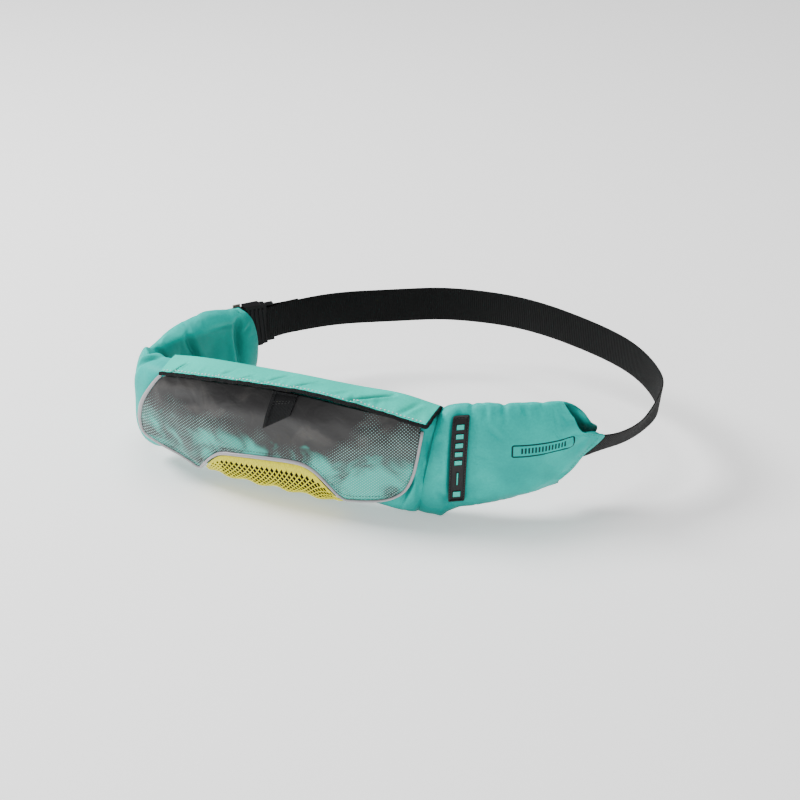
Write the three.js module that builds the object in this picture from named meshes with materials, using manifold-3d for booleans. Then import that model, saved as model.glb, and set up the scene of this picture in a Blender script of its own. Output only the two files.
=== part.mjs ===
import * as THREE from 'three';
import { mergeVertices } from 'three/addons/utils/BufferGeometryUtils.js';
import Module from 'manifold-3d';

// Whole belt, millimetres
const LOOP_WIDTH = 488; // belt line, side to side
const LOOP_DEPTH = 312; // belt line, front to back
const WEB_WIDTH = 38;
const WEB_THICK = 1.8;

// Padded pack at the front of the belt
const POUCH_LENGTH = 290; // along the belt line, between the wings
const RIGHT_WING_LENGTH = 159; // to the tip of the sleeve
const LEFT_WING_LENGTH = 156;
const PACK_HEIGHT = 110;
const PACK_DEPTH = 38;
const CLOTH = 2.4; // padded laminate of the pack's skin
const SEAM_GAP = 0.3; // between pieces that are sewn or laid together

// Pocket on the front of the pouch
const FLAP_REACH = 39; // from the belt line forward to the binding
const FLAP_THICK = 2.2;
const BINDING_WIDTH = 5;
const BINDING_THICK = 3;
const PANEL_THICK = 2.2;
const PANEL_PUFF = 5; // how far the panel stands off the pouch in the middle
const PANEL_EASE = 6; // how much taller the panel's curve is than the pouch behind it
const PANEL_SEAT = 1;
const PIPING_WIDTH = 3.2;
const NET_THICK = 1.4;
const NET_CELLS_LONG = 28;
const NET_CELLS_DEEP = 8;
const NET_STRAND = 0.42; // share of each cell taken by the strands
const LINING_THICK = 1;
const LINING_SEAT = 1.1;
const NET_SEAT = 0.9;

// Trim
const LABEL_LENGTH = 93;
const LABEL_WIDTH = 14.6;
const LABEL_THICK = 2.6;
const LABEL_SEAT = 0.8;
const LABEL_BORDER = 1.8;
const TAB_THICK = 1.8;
const TAB_TUCK = 0.4; // how fast the tab falls back from the flap's edge to the panel

// Side-release buckle
const BUCKLE_HEIGHT = 49;
const BUCKLE_THICK = 11;
const SOCKET_LENGTH = 34;
const BUCKLE_WALL = 2.4;
const BAR_WIDTH = 5;
const RIB_HEIGHT = 1;

const SOCKET_PROFILE = [
  { along: 0.27, high: 0.92, low: 0.93 },
  { along: 0.42, high: 0.94, low: 0.95 },
  { along: 0.46, high: 1, low: 1 },
  { along: 0.7, high: 1, low: 1 },
  { along: 0.74, high: 1, low: 1.08 },
  { along: 1, high: 1, low: 1.08 },
];
const BUCKLE_CLEAR = 12; // middle of the socket beyond the end of the left sleeve
const BUCKLE_OUT = 5;
const BUCKLE_YAW = -11.5; // the plug end swings outward
const RAIL_CLEAR = 1;
const PLUG_LENGTH = 30;
const PLUG_SLOT = 8;
const PLUG_THICK_SHARE = 0.36; // half thickness of the plug's base, share of the buckle's thickness
const PLUG_SIDE_GAP = 1;
const PLUG_TIP_GAP = 1.5;
const ARM_WIDTH = 6;
const TONGUE_WIDTH = 7;
const BAR_SIDES = 10;
const RIBS = 5;
const RIB_PITCH = 4.6;
const RIB_START = 0.6; // first rib, in pitches from the shoulder
const RIB_WIDTH = 1.6;
const RIB_SPAN = 0.8;
const RIB_SLANT = 4;
const TIP_WIDTH = 9;
const TIP_THICK = 1.6;
const TIP_RISE = 5;

const WEB_TAIL = 20; // doubled end beyond the socket
const WEB_TAIL_STEPS = 3;
const WRAP_STEPS = 8;
const WEB_STEPS = 72;
const WEB_LEAD = 2;
const WEB_EXIT = 0.72; // share of the left sleeve where the webbing turns out to the plug
const LABEL_STEP = 12;
const LABEL_BASE = 0.65; // floor of the label, share of its thickness
const LABEL_SUNK = 0.2; // foot of its raised parts, share of the floor
const LINING_INSET = 0.06;
const LINING_DROP = 0.8;
const PIPING_STEPS = 52;
const PIPING_SIDE_STEPS = 6;
const PIPING_SIDES = 6;
const PIPING_LEFT_TOP = -0.431; // where the piping starts under the flap, share of the pouch
const BINDING_STEPS = 30;
const BINDING_END_STEPS = 4;
const BINDING_END_SHARE = 0.05;
const BINDING_RISE = 0.6;
const BINDING_END_GAP = 0.6;
const PANEL_END_POWER = 4; // how late the panel drops to its seams at left and right
const PANEL_FOOT_POWER = 3;
const PANEL_HEAD = 0.4; // share of the panel's height over which it leaves the flap
const POUCH_SEAM_POWER = 8; // how late the pouch and how early the wing takes up the slant of their seam
const WING_SEAM_POWER = 4;

// Counts of steps along each piece
const SKIN_ROUNDS = 22;
const POUCH_STEPS = 18;
const WING_STEPS = 12;
const PANEL_COLUMNS = 42;
const PANEL_ROWS = 6;
const LINING_COLUMNS = 14;
const LINING_ROWS = 5;
const FLAP_COLUMNS = 40;
const FLAP_ROWS = 4;
const TAB_COLUMNS = 4;
const TAB_ROWS = 6;
const SEARCH_STEPS = 24;
const LINE_STEPS = 1600;

// Way of the strap under the plug's bar and up through its slot: ahead of the bar in shares of the
// slot, out in shares of the strap's clearance, -1 under the bar and 1 on top of the plug
const WEB_WEAVE = [
  { ahead: 1.14, out: -0.43 },
  { ahead: 0.67, out: -0.76 },
  { ahead: 0.14, out: -1 },
  { ahead: -0.14, out: -0.92 },
  { ahead: -0.38, out: -0.4 },
  { ahead: -0.54, out: 0.23 },
  { ahead: -0.73, out: 0.76 },
  { ahead: -0.98, out: 1 },
  { ahead: -1.29, out: 1 },
  { ahead: -1.81, out: 1 },
];

// Belt line in shares of its width and depth, from the middle of the pouch round the right side
const BELT_LINE = [
  { across: -0.143, deep: -0.452 },
  { across: -0.02, deep: -0.436 },
  { across: 0.082, deep: -0.407 },
  { across: 0.18, deep: -0.369 },
  { across: 0.275, deep: -0.311 },
  { across: 0.352, deep: -0.231 },
  { across: 0.42, deep: -0.138 },
  { across: 0.471, deep: -0.045 },
  { across: 0.49, deep: 0.064 },
  { across: 0.488, deep: 0.179 },
  { across: 0.453, deep: 0.282 },
  { across: 0.389, deep: 0.378 },
  { across: 0.287, deep: 0.462 },
  { across: 0.164, deep: 0.513 },
  { across: 0.033, deep: 0.532 },
  { across: -0.082, deep: 0.494 },
  { across: -0.184, deep: 0.413 },
  { across: -0.277, deep: 0.314 },
  { across: -0.352, deep: 0.199 },
  { across: -0.406, deep: 0.077 },
  { across: -0.443, deep: -0.045 },
  { across: -0.477, deep: -0.167 },
  { across: -0.506, deep: -0.282 },
  { across: -0.504, deep: -0.391 },
  { across: -0.449, deep: -0.455 },
  { across: -0.359, deep: -0.468 },
  { across: -0.25, deep: -0.465 },
];

const beltLine = new THREE.CatmullRomCurve3(
  BELT_LINE.map((row) => new THREE.Vector3(row.across * LOOP_WIDTH, row.deep * LOOP_DEPTH, 0)),
  true,
  'centripetal',
);
beltLine.arcLengthDivisions = LINE_STEPS;
const LOOP_LENGTH = beltLine.getLength();

// A point given by its distance along the belt line, out from it and up
function spot(along, out, up) {
  const share = THREE.MathUtils.euclideanModulo(along / LOOP_LENGTH, 1);
  const point = beltLine.getPointAt(share);
  const ahead = beltLine.getTangentAt(share);
  return new THREE.Vector3(point.x + ahead.y * out, point.y - ahead.x * out, up);
}

// Smooth reading of one column of a table between its rows
function read(rows, key, column, at) {
  const last = rows.length - 1;
  if (at <= rows[0][key]) return rows[0][column];
  if (at >= rows[last][key]) return rows[last][column];
  let i = 0;
  while (at > rows[i + 1][key]) i += 1;
  const span = rows[i + 1][key] - rows[i][key];
  const slope = (a, b) => (rows[b][column] - rows[a][column]) / (rows[b][key] - rows[a][key]);
  const before = slope(Math.max(i - 1, 0), i + 1);
  const after = slope(i, Math.min(i + 2, last));
  const t = (at - rows[i][key]) / span;
  const rise = t * t * (3 - 2 * t);
  const leave = t * (1 - t) * (1 - t) * span * before;
  const arrive = t * t * (t - 1) * span * after;
  return rows[i][column] * (1 - rise) + rows[i + 1][column] * rise + leave + arrive;
}

const signedPower = (value, power) => Math.sign(value) * Math.abs(value) ** power;
const bump = (value) => Math.exp(-value * value);

// Closed solids from grids of points
function solid(points, faces) {
  const geometry = new THREE.BufferGeometry();
  const places = points.flatMap((point) => point.toArray());
  geometry.setAttribute('position', new THREE.Float32BufferAttribute(places, 3));
  let volume = 0;
  faces.forEach(([a, b, c]) => {
    volume += points[a].dot(new THREE.Vector3().crossVectors(points[b], points[c]));
  });
  geometry.setIndex(faces.flatMap(([a, b, c]) => (volume > 0 ? [a, b, c] : [a, c, b])));
  geometry.computeVertexNormals();
  return geometry;
}

function quad(faces, a, b, c, d) {
  faces.push([a, b, c], [a, c, d]);
}

// A tube with walls, open at both ends: outer(round, ahead) and inner(round, ahead), both 0 to 1
function sleeve(rounds, steps, outer, inner) {
  const points = [];
  const faces = [];
  [outer, inner].forEach((skin) => {
    for (let j = 0; j <= steps; j += 1) {
      for (let i = 0; i < rounds; i += 1) points.push(skin(i / rounds, j / steps));
    }
  });
  const skinSize = rounds * (steps + 1);
  const at = (layer, j, i) => layer * skinSize + j * rounds + (i % rounds);
  for (let i = 0; i < rounds; i += 1) {
    for (let j = 0; j < steps; j += 1) {
      quad(faces, at(0, j, i), at(0, j, i + 1), at(0, j + 1, i + 1), at(0, j + 1, i));
      quad(faces, at(1, j, i), at(1, j + 1, i), at(1, j + 1, i + 1), at(1, j, i + 1));
    }
    quad(faces, at(0, 0, i), at(1, 0, i), at(1, 0, i + 1), at(0, 0, i + 1));
    quad(faces, at(0, steps, i), at(0, steps, i + 1), at(1, steps, i + 1), at(1, steps, i));
  }
  return solid(points, faces);
}

// A sheet with thickness: outer(across, down) and inner(across, down), both 0 to 1
function sheet(columns, rows, outer, inner) {
  const points = [];
  const faces = [];
  [outer, inner].forEach((skin) => {
    for (let j = 0; j <= rows; j += 1) {
      for (let i = 0; i <= columns; i += 1) points.push(skin(i / columns, j / rows));
    }
  });
  const skinSize = (columns + 1) * (rows + 1);
  const at = (layer, j, i) => layer * skinSize + j * (columns + 1) + i;
  for (let j = 0; j < rows; j += 1) {
    for (let i = 0; i < columns; i += 1) {
      quad(faces, at(0, j, i), at(0, j, i + 1), at(0, j + 1, i + 1), at(0, j + 1, i));
      quad(faces, at(1, j, i), at(1, j + 1, i), at(1, j + 1, i + 1), at(1, j, i + 1));
    }
    quad(faces, at(0, j, 0), at(0, j + 1, 0), at(1, j + 1, 0), at(1, j, 0));
    quad(faces, at(0, j, columns), at(1, j, columns), at(1, j + 1, columns), at(0, j + 1, columns));
  }
  for (let i = 0; i < columns; i += 1) {
    quad(faces, at(0, 0, i), at(1, 0, i), at(1, 0, i + 1), at(0, 0, i + 1));
    quad(faces, at(0, rows, i), at(0, rows, i + 1), at(1, rows, i + 1), at(1, rows, i));
  }
  return solid(points, faces);
}

// A bar swept through rings of points; closed bars join their last ring to their first
function bar(rings, closed) {
  const points = rings.flat();
  const sides = rings[0].length;
  const faces = [];
  const turns = closed ? rings.length : rings.length - 1;
  for (let j = 0; j < turns; j += 1) {
    const next = (j + 1) % rings.length;
    for (let i = 0; i < sides; i += 1) {
      const k = (i + 1) % sides;
      quad(faces, j * sides + i, j * sides + k, next * sides + k, next * sides + i);
    }
  }
  if (!closed) {
    for (let i = 1; i < sides - 1; i += 1) {
      const end = (rings.length - 1) * sides;
      faces.push([0, i + 1, i], [end, end + i, end + i + 1]);
    }
  }
  return solid(points, faces);
}

// Joining and cutting of closed solids
const wasm = await Module();
wasm.setup();

function toManifold(geometry) {
  const bare = geometry.clone();
  bare.deleteAttribute('normal');
  bare.deleteAttribute('uv');
  const merged = mergeVertices(bare.index ? bare.toNonIndexed() : bare);
  return new wasm.Manifold(new wasm.Mesh({
    numProp: 3,
    vertProperties: new Float32Array(merged.attributes.position.array),
    triVerts: new Uint32Array(merged.index.array),
  }));
}

function fromManifold(manifold) {
  const mesh = manifold.getMesh();
  const geometry = new THREE.BufferGeometry();
  geometry.setAttribute('position', new THREE.Float32BufferAttribute(mesh.vertProperties, 3));
  geometry.setIndex(Array.from(mesh.triVerts));
  geometry.computeVertexNormals();
  return geometry;
}

const join = (geometries) => fromManifold(
  geometries.map(toManifold).reduce((whole, piece) => whole.add(piece)),
);
const cut = (geometry, tools) => fromManifold(
  tools.map(toManifold).reduce((whole, tool) => whole.subtract(tool), toManifold(geometry)),
);

// Pack sections: along is the distance on the belt line, the rest are shares of the pack's sizes
const POUCH_SECTIONS = [
  { along: -0.569, top: 0.3, bottom: -0.5, back: -0.22, front: 0.75, square: 0.8 },
  { along: -0.517, top: 0.335, bottom: -0.54, back: -0.22, front: 0.9, square: 0.62 },
  { along: -0.45, top: 0.365, bottom: -0.49, back: -0.22, front: 0.95, square: 0.55 },
  { along: -0.372, top: 0.4, bottom: -0.48, back: -0.22, front: 0.96, square: 0.5 },
  { along: -0.28, top: 0.42, bottom: -0.53, back: -0.22, front: 0.98, square: 0.45 },
  { along: -0.18, top: 0.44, bottom: -0.54, back: -0.22, front: 1, square: 0.45 },
  { along: 0, top: 0.455, bottom: -0.545, back: -0.22, front: 1, square: 0.45 },
  { along: 0.207, top: 0.445, bottom: -0.56, back: -0.22, front: 1, square: 0.45 },
  { along: 0.31, top: 0.43, bottom: -0.57, back: -0.22, front: 0.96, square: 0.5 },
  { along: 0.41, top: 0.4, bottom: -0.62, back: -0.22, front: 0.9, square: 0.5 },
  { along: 0.5, top: 0.35, bottom: -0.665, back: -0.22, front: 0.76, square: 0.6 },
];

// The same columns; ahead runs 0 to 1 from the pouch to the mouth, lean follows the webbing in degrees
const RIGHT_WING_SECTIONS = [
  { ahead: 0, top: 0.345, bottom: -0.685, back: -0.24, front: 0.6, square: 0.8, lean: 0 },
  { ahead: 0.05, top: 0.41, bottom: -0.69, back: -0.28, front: 0.62, square: 0.85, lean: 0 },
  { ahead: 0.2, top: 0.43, bottom: -0.625, back: -0.3, front: 0.52, square: 0.9, lean: 0 },
  { ahead: 0.44, top: 0.43, bottom: -0.54, back: -0.28, front: 0.44, square: 0.9, lean: 0 },
  { ahead: 0.71, top: 0.435, bottom: -0.475, back: -0.24, front: 0.34, square: 0.95, lean: 6 },
  { ahead: 0.9, top: 0.44, bottom: -0.46, back: -0.22, front: 0.27, square: 1, lean: 16 },
  { ahead: 1, top: 0.445, bottom: -0.45, back: -0.22, front: 0.24, square: 1, lean: 24 },
];

const LEFT_WING_SECTIONS = [
  { ahead: 0, top: 0.28, bottom: -0.46, back: -0.22, front: 0.7, square: 0.8, lean: 0 },
  { ahead: 0.1, top: 0.22, bottom: -0.47, back: -0.26, front: 0.6, square: 0.9, lean: 0 },
  { ahead: 0.25, top: 0.25, bottom: -0.48, back: -0.32, front: 0.42, square: 0.85, lean: 0 },
  { ahead: 0.45, top: 0.315, bottom: -0.5, back: -0.42, front: 0.36, square: 0.8, lean: 0 },
  { ahead: 0.7, top: 0.34, bottom: -0.5, back: -0.44, front: 0.34, square: 0.75, lean: 0 },
  { ahead: 0.9, top: 0.3, bottom: -0.49, back: -0.38, front: 0.32, square: 0.75, lean: 0 },
  { ahead: 1, top: 0.27, bottom: -0.48, back: -0.3, front: 0.3, square: 0.8, lean: 0 },
];

// How far short of the sleeve's tip each height of its mouth ends; up in shares of the pack's height
const RIGHT_MOUTH = [
  { up: -0.45, short: 0.25 },
  { up: -0.38, short: 0.2 },
  { up: -0.17, short: 0.09 },
  { up: 0.05, short: 0 },
  { up: 0.09, short: 0.05 },
  { up: 0.14, short: 0.15 },
  { up: 0.29, short: 0.21 },
  { up: 0.44, short: 0.27 },
];
const RIGHT_BACK_REACH = 0.68; // the back layer runs on past the front one by this share of the cut
const LEFT_MOUTH = [
  { up: -0.48, short: 0.02 },
  { up: -0.1, short: 0 },
  { up: 0.12, short: 0.025 },
  { up: 0.22, short: 0.065 },
  { up: 0.27, short: 0.1 },
];
const LEFT_OUTER_SHORT = 0.37; // the outer layer of the left mouth stops short and bares the buckle
const SEAM_SLANT = 18; // the seam beside the label leans away from it towards its foot, per pack height

// Outline of the pocket panel: along in shares of the pouch, edges in shares of the pack's height
const PANEL_EDGES = [
  { along: -0.507, top: -0.19, bottom: -0.29 },
  { along: -0.497, top: -0.03, bottom: -0.32 },
  { along: -0.47, top: 0.16, bottom: -0.35 },
  { along: -0.431, top: 0.33, bottom: -0.385 },
  { along: -0.372, top: 0.375, bottom: -0.44 },
  { along: -0.335, top: 0.395, bottom: -0.49 },
  { along: -0.315, top: 0.4, bottom: -0.52 },
  { along: -0.292, top: 0.407, bottom: -0.45 },
  { along: -0.258, top: 0.415, bottom: -0.34 },
  { along: -0.215, top: 0.428, bottom: -0.25 },
  { along: -0.15, top: 0.445, bottom: -0.21 },
  { along: -0.035, top: 0.46, bottom: -0.175 },
  { along: 0.079, top: 0.462, bottom: -0.16 },
  { along: 0.12, top: 0.46, bottom: -0.19 },
  { along: 0.15, top: 0.456, bottom: -0.25 },
  { along: 0.185, top: 0.45, bottom: -0.365 },
  { along: 0.218, top: 0.442, bottom: -0.48 },
  { along: 0.25, top: 0.432, bottom: -0.485 },
  { along: 0.295, top: 0.415, bottom: -0.47 },
  { along: 0.34, top: 0.397, bottom: -0.445 },
  { along: 0.385, top: 0.375, bottom: -0.39 },
  { along: 0.42, top: 0.36, bottom: -0.295 },
  { along: 0.443, top: 0.35, bottom: -0.125 },
  { along: 0.455, top: 0.345, bottom: 0.08 },
  { along: 0.464, top: 0.34, bottom: 0.26 },
];
const NET_FROM = -0.29; // ends of the net gusset, in shares of the pouch
const NET_TO = 0.211;
const NET_ROUND = 0.475; // where the gusset meets the underside
const NET_LEAST = 0.03; // shortest the gusset gets, at its ends, as a share of the way round

// Top flap: heights of its back fold and front edge, in shares of the pack's height
const FLAP_HEIGHTS = [
  { along: -0.455, rear: 0.396, brow: 0.387 },
  { along: -0.338, rear: 0.445, brow: 0.44 },
  { along: -0.2, rear: 0.475, brow: 0.485 },
  { along: 0, rear: 0.5, brow: 0.52 },
  { along: 0.12, rear: 0.505, brow: 0.53 },
  { along: 0.25, rear: 0.495, brow: 0.5 },
  { along: 0.38, rear: 0.48, brow: 0.44 },
  { along: 0.515, rear: 0.408, brow: 0.378 },
];
const FLAP_LEFT_BACK = -0.455;
const FLAP_LEFT_FRONT = -0.43;
const FLAP_RIGHT_BACK = 0.515;
const FLAP_RIGHT_FRONT = 0.484;
const FLAP_CROWN = 1.2; // padded rise along the middle
const FLAP_BACK = -0.1; // share of its reach that turns down behind the belt line
const FLAP_TURN_DOWN = 5;

// Creases pressed into the flap: slant is how far the crease runs along from back to front
const FLAP_CREASES = [
  { along: -0.385, wide: 0.012, slant: 0.01, deep: 1.2 },
  { along: -0.2, wide: 0.014, slant: -0.05, deep: 0.7 },
  { along: -0.05, wide: 0.014, slant: -0.05, deep: 0.8 },
  { along: 0.1, wide: 0.014, slant: -0.06, deep: 0.9 },
  { along: 0.33, wide: 0.014, slant: -0.08, deep: 1.8 },
];

// Label on the right wing: centre line from its top to its foot, shares of the pouch and pack height
const LABEL_TOP = { along: 0.582, up: 0.365 };
const LABEL_SLANT = -0.03; // of its length, towards the pouch at the foot
// Raised marks on the label: down from the top and long, in shares of its length, wide in its width
const LABEL_MARKS = [
  { down: 0.07, long: 0.05, wide: 0.42 },
  { down: 0.17, long: 0.05, wide: 0.42 },
  { down: 0.27, long: 0.05, wide: 0.42 },
  { down: 0.37, long: 0.05, wide: 0.42 },
  { down: 0.47, long: 0.05, wide: 0.42 },
  { down: 0.62, long: 0.16, wide: 0.12 },
  { down: 0.86, long: 0.08, wide: 0.5 },
];

// Pull tab corners: along in shares of the pouch, up in shares of the pack's height
const TAB_TOP = { from: -0.012, to: 0.076, up: 0.475 };
const TAB_FOOT = { from: -0.044, to: 0.055, upFrom: 0.12, upTo: 0.285 };

// Lie of the webbing: share of the loop from the pouch, rise in millimetres, lean in degrees
const WEB_LIE = [
  { share: -0.22, rise: 0, lean: 0 },
  { share: -0.16, rise: -6, lean: 0 },
  { share: -0.13, rise: -6, lean: 0 },
  { share: -0.09, rise: 0, lean: 0 },
  { share: 0.12, rise: 0, lean: 0 },
  { share: 0.17, rise: -1, lean: 1 },
  { share: 0.2, rise: -4, lean: 6 },
  { share: 0.225, rise: -9, lean: 16 },
  { share: 0.238, rise: -10, lean: 25 },
  { share: 0.25, rise: -13, lean: 35 },
  { share: 0.268, rise: -12, lean: 40 },
  { share: 0.287, rise: -2, lean: 36 },
  { share: 0.305, rise: 0, lean: 20 },
  { share: 0.33, rise: 0, lean: 6 },
  { share: 0.37, rise: 0, lean: 0 },
  { share: 0.5, rise: 0, lean: 2 },
  { share: 0.6, rise: -1, lean: 7 },
  { share: 0.68, rise: -1, lean: 5 },
  { share: 0.72, rise: 0, lean: 0 },
];

// Height and outward place on a pack section; round goes 0 to 1 from the top, down the front, up the back
function sectionSpot(rows, key, at, round, inset) {
  const top = read(rows, key, 'top', at) * PACK_HEIGHT - inset;
  const bottom = read(rows, key, 'bottom', at) * PACK_HEIGHT + inset;
  const back = read(rows, key, 'back', at) * PACK_DEPTH + inset;
  const front = read(rows, key, 'front', at) * PACK_DEPTH - inset;
  const square = read(rows, key, 'square', at);
  const turn = round * 2 * Math.PI;
  const out = (front + back) / 2 + ((front - back) / 2) * signedPower(Math.sin(turn), square);
  const up = (top + bottom) / 2 + ((top - bottom) / 2) * signedPower(Math.cos(turn), square);
  return { out, up };
}

// Round value at which the front of a section stands at a given height
function roundAt(rows, key, at, up) {
  const top = read(rows, key, 'top', at) * PACK_HEIGHT;
  const bottom = read(rows, key, 'bottom', at) * PACK_HEIGHT;
  const square = read(rows, key, 'square', at);
  const level = THREE.MathUtils.clamp((2 * up - top - bottom) / (top - bottom), -1, 1);
  return Math.acos(signedPower(level, 1 / square)) / (2 * Math.PI);
}

const teal = { color: '#54b4ae', roughness: 0.62, metalness: 0 };
const parts = new THREE.Group();
parts.name = 'inflatable_belt_pack';

function add(name, geometry, look) {
  const mesh = new THREE.Mesh(geometry, new THREE.MeshStandardMaterial(look));
  mesh.name = name;
  parts.add(mesh);
  return mesh;
}

// Padded body and the two sleeves that carry the webbing
const pouchStart = POUCH_SECTIONS[0].along * POUCH_LENGTH;
const pouchEnd = POUCH_SECTIONS[POUCH_SECTIONS.length - 1].along * POUCH_LENGTH;

function pouchSkin(inset) {
  return (round, ahead) => {
    const along = pouchStart + ahead * (pouchEnd - pouchStart);
    const { out, up } = sectionSpot(POUCH_SECTIONS, 'along', along / POUCH_LENGTH, round, inset);
    return spot(along + SEAM_SLANT * (up / PACK_HEIGHT) * ahead ** POUCH_SEAM_POWER, out, up);
  };
}
add('pouch_body', sleeve(SKIN_ROUNDS, POUCH_STEPS, pouchSkin(0), pouchSkin(CLOTH)), teal);

const rightWing = {
  rows: RIGHT_WING_SECTIONS,
  mouth: RIGHT_MOUTH,
  length: RIGHT_WING_LENGTH,
  from: pouchEnd,
  way: 1,
  bare: 0,
  runOn: RIGHT_BACK_REACH,
  slant: SEAM_SLANT,
};
const leftWing = {
  rows: LEFT_WING_SECTIONS,
  mouth: LEFT_MOUTH,
  length: LEFT_WING_LENGTH,
  from: pouchStart,
  way: -1,
  bare: LEFT_OUTER_SHORT,
  runOn: 0,
  slant: 0,
};

function wingReach(wing, ahead, round, up) {
  const side = Math.sin(round * 2 * Math.PI);
  const kept = 1 - wing.runOn * Math.max(0, -side) ** 2;
  const short = read(wing.mouth, 'up', 'short', up / PACK_HEIGHT) * kept + Math.max(0, side) * wing.bare;
  const seam = wing.slant * (up / PACK_HEIGHT) * (1 - ahead) ** WING_SEAM_POWER;
  return SEAM_GAP + seam + wing.length * ahead * (1 - ahead * ahead * short);
}

function wingSkin(wing, inset) {
  return (round, ahead) => {
    const { out, up } = sectionSpot(wing.rows, 'ahead', ahead, round, inset);
    const tilt = Math.tan(THREE.MathUtils.degToRad(read(wing.rows, 'ahead', 'lean', ahead)));
    const swing = THREE.MathUtils.clamp(up, -WEB_WIDTH / 2, WEB_WIDTH / 2) * tilt;
    return spot(wing.from + wing.way * wingReach(wing, ahead, round, up), out + swing, up);
  };
}
const wingSolid = (wing) => sleeve(SKIN_ROUNDS, WING_STEPS, wingSkin(wing, 0), wingSkin(wing, CLOTH));
add('wing_right', wingSolid(rightWing), teal);
add('wing_left', wingSolid(leftWing), teal);

// Pocket panel: it stands off the pouch in the middle and above the net, and is sewn down elsewhere
const panelFrom = PANEL_EDGES[0].along;
const panelTo = PANEL_EDGES[PANEL_EDGES.length - 1].along;

function netShare(along) {
  const share = (along - NET_FROM) / (NET_TO - NET_FROM);
  return share <= 0 || share >= 1 ? 0 : Math.sqrt(Math.sin(Math.PI * share));
}

function standOff(along, down) {
  const ends = 1 - Math.abs(along / panelTo) ** PANEL_END_POWER;
  const head = THREE.MathUtils.smoothstep(down, 0, PANEL_HEAD);
  const foot = 1 - (1 - netShare(along)) * down ** PANEL_FOOT_POWER;
  return PANEL_PUFF * Math.max(ends, 0) * head * foot;
}

function panelFront(along, up) {
  const top = read(POUCH_SECTIONS, 'along', 'top', along) * PACK_HEIGHT + PANEL_EASE;
  const bottom = read(POUCH_SECTIONS, 'along', 'bottom', along) * PACK_HEIGHT - PANEL_EASE;
  const back = read(POUCH_SECTIONS, 'along', 'back', along) * PACK_DEPTH;
  const front = read(POUCH_SECTIONS, 'along', 'front', along) * PACK_DEPTH;
  const square = read(POUCH_SECTIONS, 'along', 'square', along);
  const level = THREE.MathUtils.clamp((2 * up - top - bottom) / (top - bottom), -1, 1);
  return (front + back) / 2 + ((front - back) / 2) * (1 - Math.abs(level) ** (2 / square)) ** (square / 2);
}

function panelSkin(lift) {
  return (across, down) => {
    const along = panelFrom + (panelTo - panelFrom) * across;
    const top = read(PANEL_EDGES, 'along', 'top', along) * PACK_HEIGHT;
    const bottom = read(PANEL_EDGES, 'along', 'bottom', along) * PACK_HEIGHT;
    const up = top + (bottom - top) * down;
    return spot(along * POUCH_LENGTH, panelFront(along, up) + lift + standOff(along, down), up);
  };
}
add(
  'front_panel',
  sheet(PANEL_COLUMNS, PANEL_ROWS, panelSkin(PANEL_SEAT + PANEL_THICK), panelSkin(PANEL_SEAT)),
  { color: '#474547', roughness: 0.4, metalness: 0 },
);

// Net gusset below the panel's arch, curving under the pouch; deep runs 0 to 1 from arch to underside
function archUp(along) {
  const up = (at) => read(PANEL_EDGES, 'along', 'bottom', at) * PACK_HEIGHT;
  const step = 1 / POUCH_LENGTH;
  const slope = (up(along + step) - up(along - step)) / 2;
  return up(along) - (PIPING_WIDTH + 2 * SEAM_GAP) * Math.hypot(1, slope);
}

function netSpot(long, deep, lift) {
  const along = NET_FROM + (NET_TO - NET_FROM) * long;
  const from = Math.min(roundAt(POUCH_SECTIONS, 'along', along, archUp(along)), NET_ROUND - NET_LEAST);
  const round = from + (NET_ROUND - from) * deep;
  const { out, up } = sectionSpot(POUCH_SECTIONS, 'along', along, round, 0);
  const off = lift + standOff(along, 1) * (1 - deep * deep);
  const turn = THREE.MathUtils.lerp(Math.PI / 2, round * 2 * Math.PI, deep);
  return spot(along * POUCH_LENGTH, out + off * Math.sin(turn), up + off * Math.cos(turn));
}

// Diamond net: every other point of a grid is a knot and each diamond between four knots has a hole
function netSolid(cellsLong, cellsDeep, place) {
  const points = [];
  const faces = [];
  const known = new Map();
  const point = (i, j, layer) => {
    const key = `${i.toFixed(3)},${j.toFixed(3)},${layer}`;
    if (!known.has(key)) {
      known.set(key, points.length);
      points.push(place(i / cellsLong, j / cellsDeep, layer));
    }
    return known.get(key);
  };
  const face = (corners) => {
    const [top, under] = [0, 1].map((layer) => corners.map(([i, j]) => point(i, j, layer)));
    for (let k = 1; k < corners.length - 1; k += 1) {
      faces.push([top[0], top[k], top[k + 1]], [under[0], under[k + 1], under[k]]);
    }
  };
  const wall = (a, b) => {
    quad(faces, point(...b, 0), point(...a, 0), point(...a, 1), point(...b, 1));
  };
  for (let j = 0; j <= cellsDeep; j += 1) {
    for (let i = 0; i <= cellsLong; i += 1) {
      if ((i + j) % 2 === 0) continue;
      const tips = [[i + 1, j], [i, j + 1], [i - 1, j], [i, j - 1]];
      const inside = tips.map(([x, y]) => x >= 0 && y >= 0 && x <= cellsLong && y <= cellsDeep);
      if (inside.every(Boolean)) {
        const hole = tips.map(([x, y]) => [i + (x - i) * (1 - NET_STRAND), j + (y - j) * (1 - NET_STRAND)]);
        for (let k = 0; k < tips.length; k += 1) {
          const n = (k + 1) % tips.length;
          face([tips[k], tips[n], hole[n], hole[k]]);
          wall(hole[n], hole[k]);
        }
      } else {
        for (let k = 0; k < tips.length; k += 1) {
          const n = (k + 1) % tips.length;
          if (inside[k] && inside[n]) face([[i, j], tips[k], tips[n]]);
        }
      }
    }
  }
  for (let i = 0; i < cellsLong; i += 1) {
    wall([i, 0], [i + 1, 0]);
    wall([i + 1, cellsDeep], [i, cellsDeep]);
  }
  for (let j = 0; j < cellsDeep; j += 1) {
    wall([0, j + 1], [0, j]);
    wall([cellsLong, j], [cellsLong, j + 1]);
  }
  return solid(points, faces);
}
const netLift = LINING_SEAT + LINING_THICK + NET_SEAT;
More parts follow.
